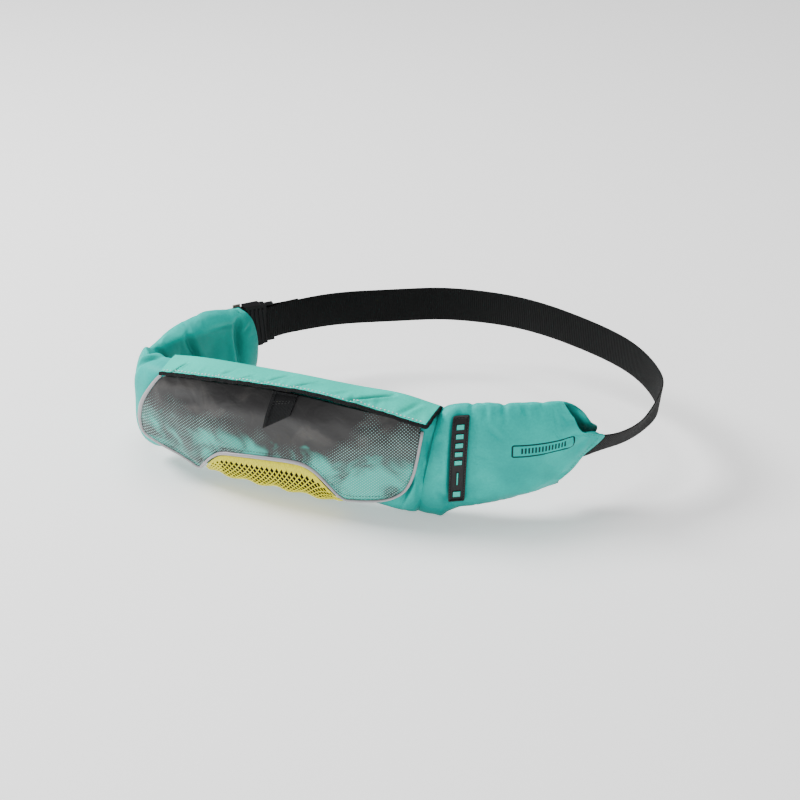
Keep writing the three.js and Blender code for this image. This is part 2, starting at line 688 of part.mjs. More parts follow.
add(
  'net_gusset',
  netSolid(NET_CELLS_LONG, NET_CELLS_DEEP, (long, deep, layer) => (
    netSpot(long, deep, netLift + NET_THICK * (1 - layer))
  )),
  { color: '#e6e06a', roughness: 0.7, metalness: 0 },
);

function liningSkin(lift) {
  return (across, down) => netSpot(LINING_INSET + across * (1 - 2 * LINING_INSET), down * LINING_DROP, lift);
}
add(
  'pocket_lining',
  sheet(LINING_COLUMNS, LINING_ROWS, liningSkin(LINING_SEAT + LINING_THICK), liningSkin(LINING_SEAT)),
  { color: '#17171a', roughness: 0.85, metalness: 0 },
);

// Reflective piping round the panel, a round bar just outside its edge
function pipingPath() {
  const edge = [];
  const step = (panelTo - panelFrom) / PIPING_STEPS;
  for (let i = 0; i <= PIPING_SIDE_STEPS; i += 1) {
    const along = panelFrom + (PIPING_LEFT_TOP - panelFrom) * (1 - i / PIPING_SIDE_STEPS) ** 2;
    edge.push({ along, down: 0, name: 'top' });
  }
  for (let i = 0; i <= PIPING_STEPS; i += 1) {
    edge.push({ along: panelFrom + step * i, down: 1, name: 'bottom' });
  }
  return edge.map(({ along, down, name }) => {
    const up = read(PANEL_EDGES, 'along', name, along) * PACK_HEIGHT;
    const lift = PANEL_SEAT + PIPING_WIDTH / 2 + standOff(along, down);
    return { along: along * POUCH_LENGTH, out: panelFront(along, up) + lift, up };
  });
}

function pipingRings() {
  const path = pipingPath();
  const reach = PIPING_WIDTH / 2 + SEAM_GAP;
  return path.map((here, i) => {
    const before = path[Math.max(i - 1, 0)];
    const after = path[Math.min(i + 1, path.length - 1)];
    const length = Math.hypot(after.along - before.along, after.up - before.up);
    const side = { along: (before.up - after.up) / length, up: (after.along - before.along) / length };
    const ring = [];
    for (let k = 0; k < PIPING_SIDES; k += 1) {
      const turn = ((k + 0.5) / PIPING_SIDES) * 2 * Math.PI;
      const across = -reach + (PIPING_WIDTH / 2) * Math.cos(turn);
      ring.push(spot(
        here.along + side.along * across,
        here.out + (PIPING_WIDTH / 2) * Math.sin(turn),
        here.up + side.up * across,
      ));
    }
    return ring;
  });
}
add('panel_piping', bar(pipingRings(), false), { color: '#c9c5c8', roughness: 0.35, metalness: 0.1 });

// Top flap over the pocket's mouth, with its crown and creases
function flapSkin(lift) {
  return (across, ahead) => {
    const left = THREE.MathUtils.lerp(FLAP_LEFT_BACK, FLAP_LEFT_FRONT, ahead);
    const right = THREE.MathUtils.lerp(FLAP_RIGHT_BACK, FLAP_RIGHT_FRONT, ahead);
    const along = THREE.MathUtils.lerp(left, right, across);
    const share = THREE.MathUtils.lerp(FLAP_BACK, 1, ahead);
    const rear = read(FLAP_HEIGHTS, 'along', 'rear', along) * PACK_HEIGHT;
    const brow = read(FLAP_HEIGHTS, 'along', 'brow', along) * PACK_HEIGHT;
    let up = THREE.MathUtils.lerp(rear, brow, Math.max(share, 0)) + FLAP_CROWN * Math.sin(Math.PI * ahead);
    if (share < 0) up -= FLAP_TURN_DOWN * (share / FLAP_BACK) ** 2;
    FLAP_CREASES.forEach((crease) => {
      const middle = crease.along + crease.slant * (share - 0.5);
      up -= crease.deep * bump((along - middle) / crease.wide) * Math.sin(Math.PI * ahead);
    });
    return spot(along * POUCH_LENGTH, share * FLAP_REACH, up + lift);
  };
}
add(
  'top_flap',
  sheet(FLAP_COLUMNS, FLAP_ROWS, flapSkin(0), flapSkin(-FLAP_THICK)),
  { ...teal, color: '#63c4b6' },
);

// Black binding along the flap's front edge and round its right end
function bindingRings() {
  const rings = [];
  const half = BINDING_THICK / 2;
  const front = FLAP_REACH + SEAM_GAP + half;
  const endAt = (ahead) => THREE.MathUtils.lerp(FLAP_RIGHT_BACK, FLAP_RIGHT_FRONT, ahead) * POUCH_LENGTH
    + BINDING_END_GAP + half;
  const ring = (along, out, up, ahead, outward) => {
    const corner = (thick, high) => spot(
      along + ahead * thick * half,
      out + outward * thick * half,
      up + BINDING_RISE + (high - 1) * (BINDING_WIDTH / 2),
    );
    return [corner(-1, -1), corner(1, -1), corner(1, 1), corner(-1, 1)];
  };
  for (let i = 0; i < BINDING_STEPS; i += 1) {
    const along = THREE.MathUtils.lerp(FLAP_LEFT_FRONT, FLAP_RIGHT_FRONT, i / BINDING_STEPS);
    const up = read(FLAP_HEIGHTS, 'along', 'brow', along) * PACK_HEIGHT;
    rings.push(ring(along * POUCH_LENGTH, front, up, 0, 1));
  }
  const last = FLAP_HEIGHTS[FLAP_HEIGHTS.length - 1];
  rings.push(ring(endAt(1), front, last.brow * PACK_HEIGHT, 1, 1));
  for (let i = 1; i <= BINDING_END_STEPS; i += 1) {
    const share = 1 - (i / BINDING_END_STEPS) * (1 - BINDING_END_SHARE);
    const up = THREE.MathUtils.lerp(last.rear, last.brow, share) * PACK_HEIGHT;
    rings.push(ring(endAt(share), share * FLAP_REACH, up + FLAP_CROWN * Math.sin(Math.PI * share), 1, 0));
  }
  return rings;
}
add('flap_binding', bar(bindingRings(), false), { color: '#17171b', roughness: 0.7, metalness: 0 });

// Pull tab hanging from the flap over the panel
function panelOut(along, up) {
  const top = read(PANEL_EDGES, 'along', 'top', along) * PACK_HEIGHT;
  const bottom = read(PANEL_EDGES, 'along', 'bottom', along) * PACK_HEIGHT;
  const down = THREE.MathUtils.clamp((top - up) / (top - bottom), 0, 1);
  return panelFront(along, up) + PANEL_SEAT + PANEL_THICK + standOff(along, down);
}

function tabSkin(lift) {
  return (across, down) => {
    const top = THREE.MathUtils.lerp(TAB_TOP.from, TAB_TOP.to, across);
    const foot = THREE.MathUtils.lerp(TAB_FOOT.from, TAB_FOOT.to, across);
    const footUp = THREE.MathUtils.lerp(TAB_FOOT.upFrom, TAB_FOOT.upTo, across);
    const along = THREE.MathUtils.lerp(top, foot, down);
    const up = THREE.MathUtils.lerp(TAB_TOP.up, footUp, down) * PACK_HEIGHT;
    const hang = THREE.MathUtils.lerp(FLAP_REACH, 0, down * TAB_TUCK);
    return spot(along * POUCH_LENGTH, Math.max(panelOut(along, up) + SEAM_GAP, hang) + lift, up);
  };
}
add(
  'pull_tab',
  sheet(TAB_COLUMNS, TAB_ROWS, tabSkin(TAB_THICK), tabSkin(0)),
  { color: '#26262a', roughness: 0.6, metalness: 0 },
);

// Moulded label on the right wing, with a raised border and raised marks
function wingFront(wing, along, up) {
  let low = 0;
  let high = 1;
  for (let i = 0; i < SEARCH_STEPS; i += 1) {
    const middle = (low + high) / 2;
    const round = roundAt(wing.rows, 'ahead', middle, up);
    if (wing.from + wingReach(wing, middle, round, up) < along) low = middle;
    else high = middle;
  }
  return sectionSpot(wing.rows, 'ahead', low, roundAt(wing.rows, 'ahead', low, up), 0).out;
}

function labelSpot(across, down, lift) {
  const up = LABEL_TOP.up * PACK_HEIGHT - down;
  const along = LABEL_TOP.along * POUCH_LENGTH + across + LABEL_SLANT * down;
  return spot(along, wingFront(rightWing, along, up) + LABEL_SEAT + lift, up);
}

function labelBlock(across, half, from, to, lift, top) {
  return sheet(
    1,
    Math.ceil((to - from) / LABEL_STEP),
    (i, j) => labelSpot(across + (2 * i - 1) * half, from + (to - from) * j, top),
    (i, j) => labelSpot(across + (2 * i - 1) * half, from + (to - from) * j, lift),
  );
}

function labelSolid() {
  const half = LABEL_WIDTH / 2;
  const edge = LABEL_BORDER / 2;
  const base = LABEL_THICK * LABEL_BASE;
  const sunk = base * LABEL_SUNK;
  const blocks = [
    labelBlock(0, half, 0, LABEL_LENGTH, 0, base),
    labelBlock(edge - half, edge, 0, LABEL_LENGTH, sunk, LABEL_THICK),
    labelBlock(half - edge, edge, 0, LABEL_LENGTH, sunk, LABEL_THICK),
    labelBlock(0, half, 0, LABEL_BORDER, sunk, LABEL_THICK),
    labelBlock(0, half, LABEL_LENGTH - LABEL_BORDER, LABEL_LENGTH, sunk, LABEL_THICK),
  ];
  LABEL_MARKS.forEach(({ down, long, wide }) => {
    const from = down * LABEL_LENGTH;
    const to = from + long * LABEL_LENGTH;
    blocks.push(labelBlock(0, wide * half, from, to, sunk, LABEL_THICK));
  });
  return join(blocks);
}
add('label_patch', labelSolid(), { color: '#3a3640', roughness: 0.55, metalness: 0 });

// Side-release buckle in its own frame: x along the belt towards the sleeve, y inward, z up
const buckle = new THREE.Group();
buckle.name = 'buckle';
const buckleAlong = pouchStart - LEFT_WING_LENGTH - BUCKLE_CLEAR;
const buckleHeading = beltLine.getTangentAt(THREE.MathUtils.euclideanModulo(buckleAlong / LOOP_LENGTH, 1));
buckle.position.copy(spot(buckleAlong, BUCKLE_OUT, 0));
buckle.rotation.z = Math.atan2(buckleHeading.y, buckleHeading.x) + THREE.MathUtils.degToRad(BUCKLE_YAW);
parts.add(buckle);

const block = (x0, x1, halfThick, z0, z1) => new THREE.BoxGeometry(x1 - x0, 2 * halfThick, z1 - z0)
  .translate((x0 + x1) / 2, 0, (z0 + z1) / 2);
const post = (x, halfHeight) => new THREE
  .CylinderGeometry(BAR_WIDTH / 2, BAR_WIDTH / 2, 2 * halfHeight, BAR_SIDES)
  .rotateX(Math.PI / 2)
  .translate(x, 0, 0);

function socketBody() {
  const half = SOCKET_LENGTH / 2;
  const edge = (row, share) => new THREE.Vector2(
    row.along * SOCKET_LENGTH - half,
    (share * BUCKLE_HEIGHT) / 2,
  );
  const shape = new THREE.Shape([
    ...SOCKET_PROFILE.map((row) => edge(row, row.high)),
    ...SOCKET_PROFILE.toReversed().map((row) => edge(row, -row.low)),
  ]);
  return new THREE.ExtrudeGeometry(shape, { depth: BUCKLE_THICK, bevelEnabled: false })
    .rotateX(Math.PI / 2)
    .translate(0, BUCKLE_THICK / 2, 0);
}

const socketBar = -SOCKET_LENGTH / 2 + BAR_WIDTH / 2;
const socketBack = SOCKET_PROFILE[0].along * SOCKET_LENGTH - SOCKET_LENGTH / 2;
const railInner = WEB_WIDTH / 2 + RAIL_CLEAR;
const railOuter = railInner + BUCKLE_WALL;
const mouthX = SOCKET_LENGTH / 2;
const plugBack = mouthX + PLUG_LENGTH;
const plugBar = plugBack - BAR_WIDTH / 2;

function socketSolid() {
  const ribs = [];
  for (let i = 0; i < RIBS; i += 1) {
    const x = socketBack + RIB_PITCH * (i + RIB_START);
    ribs.push(new THREE.BoxGeometry(RIB_WIDTH, RIB_HEIGHT * 2, BUCKLE_HEIGHT * RIB_SPAN)
      .rotateY(THREE.MathUtils.degToRad(RIB_SLANT))
      .translate(x, BUCKLE_THICK / 2, 0));
  }
  const shell = join([
    socketBody(),
    post(socketBar, railOuter - BUCKLE_WALL / 2),
    block(socketBar - BAR_WIDTH / 2, socketBack + BUCKLE_WALL, BAR_WIDTH / 2, railInner, railOuter),
    block(socketBar - BAR_WIDTH / 2, socketBack + BUCKLE_WALL, BAR_WIDTH / 2, -railOuter, -railInner),
    ...ribs,
  ]);
  const hollowHalf = BUCKLE_HEIGHT / 2 - BUCKLE_WALL;
  const hollow = block(
    socketBack + BUCKLE_WALL, mouthX + BUCKLE_WALL, BUCKLE_THICK / 2 - BUCKLE_WALL, -hollowHalf, hollowHalf,
  );
  return cut(shell, [hollow]);
}

function plugSolid() {
  const inHollow = BUCKLE_THICK / 2 - BUCKLE_WALL - SEAM_GAP;
  const armOuter = BUCKLE_HEIGHT / 2 - BUCKLE_WALL - PLUG_SIDE_GAP;
  const armInner = armOuter - ARM_WIDTH;
  const tipX = socketBack + BUCKLE_WALL + PLUG_TIP_GAP;
  const seat = mouthX + SEAM_GAP;
  const root = seat + BUCKLE_WALL;
  return join([
    block(seat, plugBack - BAR_WIDTH - PLUG_SLOT, BUCKLE_THICK * PLUG_THICK_SHARE, -railOuter, railOuter),
    block(seat, plugBar + BAR_WIDTH / 2, BAR_WIDTH / 2, railInner, railOuter),
    block(seat, plugBar + BAR_WIDTH / 2, BAR_WIDTH / 2, -railOuter, -railInner),
    post(plugBar, railOuter - BUCKLE_WALL / 2),
    block(tipX, root, inHollow, armInner, armOuter),
    block(tipX, root, inHollow, -armOuter, -armInner),
    block(tipX, root, inHollow, -TONGUE_WIDTH / 2, TONGUE_WIDTH / 2),
  ]);
}

const strapUnderBar = BAR_WIDTH / 2 + SEAM_GAP + WEB_THICK / 2;
const strapOnPlug = BUCKLE_THICK * PLUG_THICK_SHARE + SEAM_GAP + WEB_THICK / 2;

function addToBuckle(name, geometry, look) {
  buckle.add(add(name, geometry, look));
}
const plastic = { color: '#2b2930', roughness: 0.4, metalness: 0 };
addToBuckle('buckle_socket', socketSolid(), plastic);
addToBuckle('buckle_plug', plugSolid(), plastic);
addToBuckle(
  'webbing_tip',
  block(
    mouthX + SEAM_GAP * 2, mouthX + TIP_WIDTH, TIP_THICK / 2, -WEB_WIDTH / 2, WEB_WIDTH / 2 + TIP_RISE,
  ).translate(0, -(strapOnPlug + WEB_THICK / 2 + SEAM_GAP + TIP_THICK / 2), 0),
  { color: '#b9b4ab', roughness: 0.5, metalness: 0 },
);

// Webbing: from its doubled end at the socket, round the back, through the pack and out to the plug
function buckleSpot(x, out) {
  const turn = buckle.rotation.z;
  return new THREE.Vector3(
    buckle.position.x + x * Math.cos(turn) + out * Math.sin(turn),
    buckle.position.y + x * Math.sin(turn) - out * Math.cos(turn),
    0,
  );
}

function webbingPath() {
  const path = [];
  const start = buckleAlong - SOCKET_LENGTH;
  for (let i = WEB_TAIL_STEPS; i > 0; i -= 1) {
    const out = WEB_THICK + SEAM_GAP * 2;
    path.push({ point: spot(start - (WEB_TAIL * i) / WEB_TAIL_STEPS, out, 0), lean: 0 });
  }
  for (let i = 0; i <= WRAP_STEPS; i += 1) {
    const turn = Math.PI * (i / WRAP_STEPS) - Math.PI / 2;
    path.push({
      point: buckleSpot(socketBar + strapUnderBar * Math.cos(turn), -strapUnderBar * Math.sin(turn)),
      lean: 0,
    });
  }
  const to = -LOOP_LENGTH + (pouchStart - LEFT_WING_LENGTH * WEB_EXIT);
  for (let i = 0; i <= WEB_STEPS; i += 1) {
    const along = THREE.MathUtils.lerp(start - WEB_LEAD, to, i / WEB_STEPS);
    const share = 1 + along / LOOP_LENGTH;
    const lean = read(WEB_LIE, 'share', 'lean', share);
    path.push({ point: spot(along, 0, read(WEB_LIE, 'share', 'rise', share)), lean });
  }
  const slot = PLUG_SLOT + BAR_WIDTH / 2;
  WEB_WEAVE.forEach(({ ahead, out }) => {
    const clear = out < 0 ? strapUnderBar : strapOnPlug;
    path.push({ point: buckleSpot(plugBar + ahead * slot, out * clear), lean: 0 });
  });
  return path;
}

function webbingRings() {
  const path = webbingPath();
  return path.map(({ point, lean }, i) => {
    const before = path[Math.max(i - 1, 0)].point;
    const after = path[Math.min(i + 1, path.length - 1)].point;
    const ahead = after.clone().sub(before).setZ(0).normalize();
    const side = new THREE.Vector3(-ahead.y, ahead.x, 0);
    const tilt = THREE.MathUtils.degToRad(lean);
    const wide = new THREE.Vector3(0, 0, Math.cos(tilt)).addScaledVector(side, Math.sin(tilt));
    const thick = side.clone().multiplyScalar(Math.cos(tilt)).add(new THREE.Vector3(0, 0, -Math.sin(tilt)));
    return [[-1, -1], [1, -1], [1, 1], [-1, 1]].map(([t, w]) => point.clone()
      .addScaledVector(thick, (t * WEB_THICK) / 2)
      .addScaledVector(wide, (w * WEB_WIDTH) / 2));
  });
}
add('webbing', bar(webbingRings(), false), { color: '#141414', roughness: 0.75, metalness: 0 });

export default parts;
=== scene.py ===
import math
import bpy
import bmesh
import numpy as np
from mathutils import Matrix, Vector


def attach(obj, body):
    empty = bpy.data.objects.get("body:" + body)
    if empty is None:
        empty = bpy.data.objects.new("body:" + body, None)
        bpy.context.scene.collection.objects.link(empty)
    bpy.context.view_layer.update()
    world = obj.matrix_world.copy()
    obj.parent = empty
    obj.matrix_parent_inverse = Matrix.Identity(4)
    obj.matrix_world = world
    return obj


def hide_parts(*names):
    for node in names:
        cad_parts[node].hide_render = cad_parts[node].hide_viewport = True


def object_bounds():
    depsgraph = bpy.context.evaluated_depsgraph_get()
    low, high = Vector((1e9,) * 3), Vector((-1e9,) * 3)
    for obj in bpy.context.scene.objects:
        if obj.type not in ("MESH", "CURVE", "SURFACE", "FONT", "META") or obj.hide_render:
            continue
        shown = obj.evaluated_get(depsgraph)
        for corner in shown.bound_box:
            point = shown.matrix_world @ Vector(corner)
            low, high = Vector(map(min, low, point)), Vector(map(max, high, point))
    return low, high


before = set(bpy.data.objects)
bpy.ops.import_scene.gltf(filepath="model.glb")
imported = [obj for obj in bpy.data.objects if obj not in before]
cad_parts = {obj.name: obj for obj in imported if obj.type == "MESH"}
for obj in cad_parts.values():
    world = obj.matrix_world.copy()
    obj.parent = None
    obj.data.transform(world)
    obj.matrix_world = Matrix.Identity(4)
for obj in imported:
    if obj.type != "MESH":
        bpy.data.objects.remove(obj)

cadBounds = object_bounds()
mm = 0.001

# The belt line: the loop that the webbing follows, in shares of its width and depth
belt = {
    "width": 488, "depth": 312, "pouchLength": 290, "packHeight": 110, "packDepth": 38,
    "across": [-0.143, -0.02, 0.082, 0.18, 0.275, 0.352, 0.42, 0.471, 0.49, 0.488, 0.453, 0.389, 0.287, 0.164,
               0.033, -0.082, -0.184, -0.277, -0.352, -0.406, -0.443, -0.477, -0.506, -0.504, -0.449, -0.359, -0.25],
    "deep": [-0.452, -0.436, -0.407, -0.369, -0.311, -0.231, -0.138, -0.045, 0.064, 0.179, 0.282, 0.378, 0.462, 0.513,
             0.532, 0.494, 0.413, 0.314, 0.199, 0.077, -0.045, -0.167, -0.282, -0.391, -0.455, -0.468, -0.465],
    "stepsEach": 60,
}
height, depth, pouchLong = belt["packHeight"], belt["packDepth"], belt["pouchLength"]


def traceBelt():
    knots = [np.array([a * belt["width"], d * belt["depth"]]) for a, d in zip(belt["across"], belt["deep"])]
    points = []
    for i in range(len(knots)):
        p0, p1, p2, p3 = (knots[(i + k) % len(knots)] for k in (-1, 0, 1, 2))
        d0, d1, d2 = (math.sqrt(np.linalg.norm(b - a)) for a, b in ((p0, p1), (p1, p2), (p2, p3)))
        leave = ((p1 - p0) / d0 - (p2 - p0) / (d0 + d1) + (p2 - p1) / d1) * d1
        arrive = ((p2 - p1) / d1 - (p3 - p1) / (d1 + d2) + (p3 - p2) / d2) * d1
        for t in np.arange(belt["stepsEach"]) / belt["stepsEach"]:
            points.append(p1 + leave * t + (-3 * p1 + 3 * p2 - 2 * leave - arrive) * t ** 2
                          + (2 * p1 - 2 * p2 + leave + arrive) * t ** 3)
    line = np.array(points + points[:1])
    along = np.concatenate([[0], np.cumsum(np.linalg.norm(np.diff(line, axis=0), axis=1))])
    ahead = np.roll(line[:-1], -1, axis=0) - np.roll(line[:-1], 1, axis=0)
    ahead /= np.linalg.norm(ahead, axis=1)[:, None]
    return along, line, np.vstack([ahead, ahead[:1]])


beltAlong, beltPoints, beltAhead = traceBelt()
loopLength = beltAlong[-1]


def heading(along):
    along = np.mod(along, loopLength)
    return np.stack([np.interp(along, beltAlong, beltAhead[:, k]) for k in (0, 1)], axis=-1)


# A place given by its distance along the belt line, out from it and up, all in millimetres
def spot(along, out, up):
    along, out, up = np.broadcast_arrays(np.asarray(along, float), out, up)
    ahead = heading(along)
    x = np.interp(np.mod(along, loopLength), beltAlong, beltPoints[:, 0]) + ahead[..., 1] * out
    y = np.interp(np.mod(along, loopLength), beltAlong, beltPoints[:, 1]) - ahead[..., 0] * out
    return np.stack([x, y, up], axis=-1)


# Smooth reading of one column of a table between its rows
def readTable(table, key, column, at):
    keys, values = np.array(table[key], float), np.array(table[column], float)
    last = len(keys) - 1
    at = np.clip(np.asarray(at, float), keys[0], keys[-1])
    i = np.clip(np.searchsorted(keys, at, side="right") - 1, 0, last - 1)
    span = keys[i + 1] - keys[i]
    low, high = np.maximum(i - 1, 0), np.minimum(i + 2, last)
    before = (values[i + 1] - values[low]) / (keys[i + 1] - keys[low])
    after = (values[high] - values[i]) / (keys[high] - keys[i])
    t = (at - keys[i]) / span
    rise = t * t * (3 - 2 * t)
    return (values[i] * (1 - rise) + values[i + 1] * rise
            + t * (1 - t) ** 2 * span * before + t * t * (t - 1) * span * after)


def ease(low, high, at):
    t = np.clip((at - low) / (high - low), 0, 1)
    return t * t * (3 - 2 * t)


# A product of eases: limits holds two numbers for each of the values
def between(limits, *values):
    total = 1
    for i, value in enumerate(values):
        total = total * ease(limits[2 * i], limits[2 * i + 1], value)
    return total


def signedPower(value, power):
    return np.sign(value) * np.abs(value) ** power


# Folds pressed into cloth: each runs from one place on the flat cloth to another, and dies out at its ends.
# A fold is its start and end, both as two coordinates, then its width, its depth and the side its brow is on
foldShape = {"startShare": 0.12, "spanShare": 0.76, "brow": 0.45, "browOff": 1.7, "browWide": 1.1}


def pressFolds(folds, along, up):
    total = np.zeros(np.shape(along))
    for a0, u0, a1, u1, wide, deep, browSide in folds:
        run = np.array([a1 - a0, u1 - u0], float)
        length = np.linalg.norm(run)
        run /= length
        t = (along - a0) * run[0] + (up - u0) * run[1]
        side = (along - a0) * -run[1] + (up - u0) * run[0]
        share = np.clip(t / length, 0, 1)
        past = np.abs(t - share * length)
        body = (np.sin(np.pi * (foldShape["startShare"] + foldShape["spanShare"] * share))
                * np.exp(-(past / wide) ** 2))
        valley = np.exp(-(side / wide) ** 2)
        brow = np.exp(-((side - browSide * foldShape["browOff"] * wide) / (foldShape["browWide"] * wide)) ** 2)
        total += body * deep * (valley - foldShape["brow"] * brow)
    return total


# Meshes

def meshObject(name, bm, material, smooth=True):
    mesh = bpy.data.meshes.new(name)
    for face in bm.faces:
        face.smooth = smooth
    bm.to_mesh(mesh)
    bm.free()
    mesh.materials.append(material)
    made = bpy.data.objects.new(name, mesh)
    bpy.context.scene.collection.objects.link(made)
    return made


# A grid laid on a surface: place takes its two shares, 0 to 1, and its UV map holds the flat cloth in metres
def clothGrid(columns, rows, place, flat, wrapped=None):
    bm = bmesh.new()
    bmesh.ops.create_grid(bm, x_segments=columns, y_segments=rows, size=0.5)
    shares = np.array([v.co[:2] for v in bm.verts]) + 0.5
    flats = np.stack(np.broadcast_arrays(*flat(shares[:, 0], shares[:, 1])), axis=-1) * mm
    layer = bm.loops.layers.uv.new("cloth")
    bm.verts.index_update()
    for face in bm.faces:
        for loop in face.loops:
            loop[layer].uv = flats[loop.vert.index]
    for vert, point in zip(bm.verts, place(shares[:, 0], shares[:, 1]) * mm):
        vert.co = point
    if wrapped:
        bmesh.ops.remove_doubles(bm, verts=bm.verts, dist=2e-6)
    return bm


def faceOutwards(bm, middle):
    bm.normal_update()
    lean = sum((face.calc_center_median() - middle(face.calc_center_median())).dot(face.normal) for face in bm.faces)
    if lean < 0:
        bmesh.ops.reverse_faces(bm, faces=bm.faces)


def beltMiddle(point):
    line = beltPoints[np.argmin(np.hypot(*(beltPoints - np.array(point[:2]) / mm).T))]
    return Vector((line[0] * mm, line[1] * mm, point.z * 0.2))


def addModifier(piece, kind, **settings):
    modifier = piece.modifiers.new(kind.title(), kind)
    for key, value in settings.items():
        setattr(modifier, key, value)
    return modifier


def subdivide(piece, levels=1):
    addModifier(piece, "SUBSURF", levels=levels, render_levels=levels)


def thicken(piece, thick):
    addModifier(piece, "SOLIDIFY", thickness=thick * mm, offset=-1, use_even_offset=False)


def roundEdges(piece, wide, segments=3):
    addModifier(piece, "BEVEL", width=wide * mm, segments=segments, limit_method="ANGLE", profile=0.5, material=-1)


# Puts a piece in place of the node it stands for, hiding that node's own part, and hangs it on the root body
def enter(piece, node):
    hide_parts(node)
    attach(piece, "root")


swelling = {"quality": 6, "mass": 0.25, "stretch": 25, "shear": 12, "bend": 0.4, "frames": 20}


# Swells a skin with a short cloth simulation; each point moves by its share of what the cloth did, up to a cap
def puff(piece, share, pins, pressure, cap, shrink):
    mesh = piece.data
    before = np.array([v.co[:] for v in mesh.vertices])
    group = piece.vertex_groups.new(name="pins")
    for index in np.nonzero(pins)[0]:
        group.add([int(index)], 1.0, "REPLACE")
    cloth = piece.modifiers.new("Cloth", "CLOTH")
    settings = cloth.settings
    settings.quality, settings.mass = swelling["quality"], swelling["mass"]
    settings.tension_stiffness = settings.compression_stiffness = swelling["stretch"]
    settings.shear_stiffness, settings.bending_stiffness = swelling["shear"], swelling["bend"]
    settings.use_pressure = True
    settings.uniform_pressure_force = pressure
    settings.shrink_min = shrink
    settings.vertex_group_mass = "pins"
    settings.effector_weights.gravity = 0
    cloth.collision_settings.use_collision = False
    cloth.point_cache.frame_start, cloth.point_cache.frame_end = 1, swelling["frames"]
    scene = bpy.context.scene
    for step in range(1, swelling["frames"] + 1):
        scene.frame_set(step)
    shaped = piece.evaluated_get(bpy.context.evaluated_depsgraph_get()).to_mesh()
    moved = np.array([v.co[:] for v in shaped.vertices]) - before
    piece.evaluated_get(bpy.context.evaluated_depsgraph_get()).to_mesh_clear()
    piece.modifiers.remove(cloth)
    piece.vertex_groups.remove(group)
    scene.frame_set(1)
    far = np.linalg.norm(moved, axis=1) + 1e-9
    moved *= (np.minimum(far, cap * mm * np.tanh(far / (cap * mm))) / far * share)[:, None]
    for vert, point in zip(mesh.vertices, before + moved):
        vert.co = point
    mesh.update()
    print("  swelled", piece.name, "by up to", round(float(far.max()) / mm, 1), "mm before the cap")


# A closed bar swept along a row of rings: place gives the points of every ring
def sweptBar(steps, sides, place, flat):
    bm = clothGrid(steps, sides, place, flat, wrapped=True)
    bmesh.ops.holes_fill(bm, edges=[e for e in bm.edges if e.is_boundary], sides=0)
    bmesh.ops.recalc_face_normals(bm, faces=bm.faces)
    return bm


# Stitches: small rounded bars along a line of places, each turned along the line
def stitchRow(bm, line, pitch, long, wide, high):
    steps = np.concatenate([[0], np.cumsum(np.linalg.norm(np.diff(line, axis=0), axis=1))])
    for at in np.arange(pitch / 2, steps[-1] - pitch / 2, pitch):
        here, there = (np.array([np.interp(at + d, steps, line[:, k]) for k in range(3)]) for d in (-0.4, 0.4))
        run = Vector(there - here).normalized()
        middle = Vector((here + there) / 2) * mm
        side = run.cross(Vector((0, 0, 1))).normalized()
        turned = Matrix((run, side, run.cross(side))).transposed().to_4x4()
        size = Matrix.Diagonal((long * mm / 2, high * mm / 2, wide * mm / 2, 1))
        bmesh.ops.create_uvsphere(bm, u_segments=6, v_segments=4, radius=1,
                                  matrix=Matrix.Translation(middle) @ turned @ size)


# Materials

def hexColour(value):
    parts = [int(value[i:i + 2], 16) / 255 for i in (1, 3, 5)]
    return [p / 12.92 if p <= 0.04045 else ((p + 0.055) / 1.055) ** 2.4 for p in parts] + [1]


def addNode(tree, kind, settings=None, links=None):
    node = tree.nodes.new(kind)
    for key, value in (settings or {}).items():
        if isinstance(key, str) and key[0].islower():
            setattr(node, key, value)
        else:
            node.inputs[key].default_value = value
    for key, source in (links or {}).items():
        tree.links.new(source, node.inputs[key])
    return node


def newMaterial(name, settings):
    material = bpy.data.materials.new(name)
    material.use_nodes = True
    tree = material.node_tree
    shader = tree.nodes["Principled BSDF"]
    for key, value in settings.items():
        shader.inputs[key].default_value = value
    material.diffuse_color = shader.inputs["Base Color"].default_value[:]
    return material, tree, shader


def mathNode(tree, operation, a, b=None, c=None):
    settings, links = {"operation": operation}, {}
    for slot, value in enumerate((a, b, c)):
        if value is None:
            continue
        if isinstance(value, (int, float)):
            settings[slot] = value
        else:
            links[slot] = value
    return addNode(tree, "ShaderNodeMath", settings, links).outputs[0]


def mixColour(tree, share, first, second, blend="MIX"):
    settings, links = {"data_type": "RGBA", "blend_type": blend}, {}
    for slot, value in ((0, share), (6, first), (7, second)):
        if isinstance(value, (int, float, list)):
            settings[slot] = value
        else:
            links[slot] = value
    return addNode(tree, "ShaderNodeMix", settings, links).outputs[2]


def clothCoordinates(tree, turn=0.0, scale=1000.0):
    uv = addNode(tree, "ShaderNodeUVMap", {"uv_map": "cloth"})
    return addNode(tree, "ShaderNodeMapping", {"Scale": (scale, scale, scale), "Rotation": (0, 0, turn)},
                   {"Vector": uv.outputs[0]}).outputs[0]


# Plain weave: two sets of threads crossing, as a height; pitch in millimetres
def weaveHeight(tree, pitch, turn=0.0):
    place = clothCoordinates(tree, turn, 1000 / pitch)
    axes = addNode(tree, "ShaderNodeSeparateXYZ", links={0: place})
    warp, weft = (mathNode(tree, "SINE", mathNode(tree, "MULTIPLY", axes.outputs[k], 2 * math.pi)) for k in (0, 1))
    return mathNode(tree, "MULTIPLY", warp, weft)


coatedNylon = {
    "lit": "#03c5b8", "shade": "#01aaa1", "edgeTint": "#2edccb", "edgeTintShare": 0.35, "hollow": "#017f78",
    "inner": "#018a80", "innerFrom": 100, "innerTo": 223, "innerEdge": 3, "innerShare": 0.8, "threadPitch": 1.1,
    "roughness": 0.5, "gloss": 0.14, "weaveDeep": 0.05, "puckerDeep": 1.0,
}
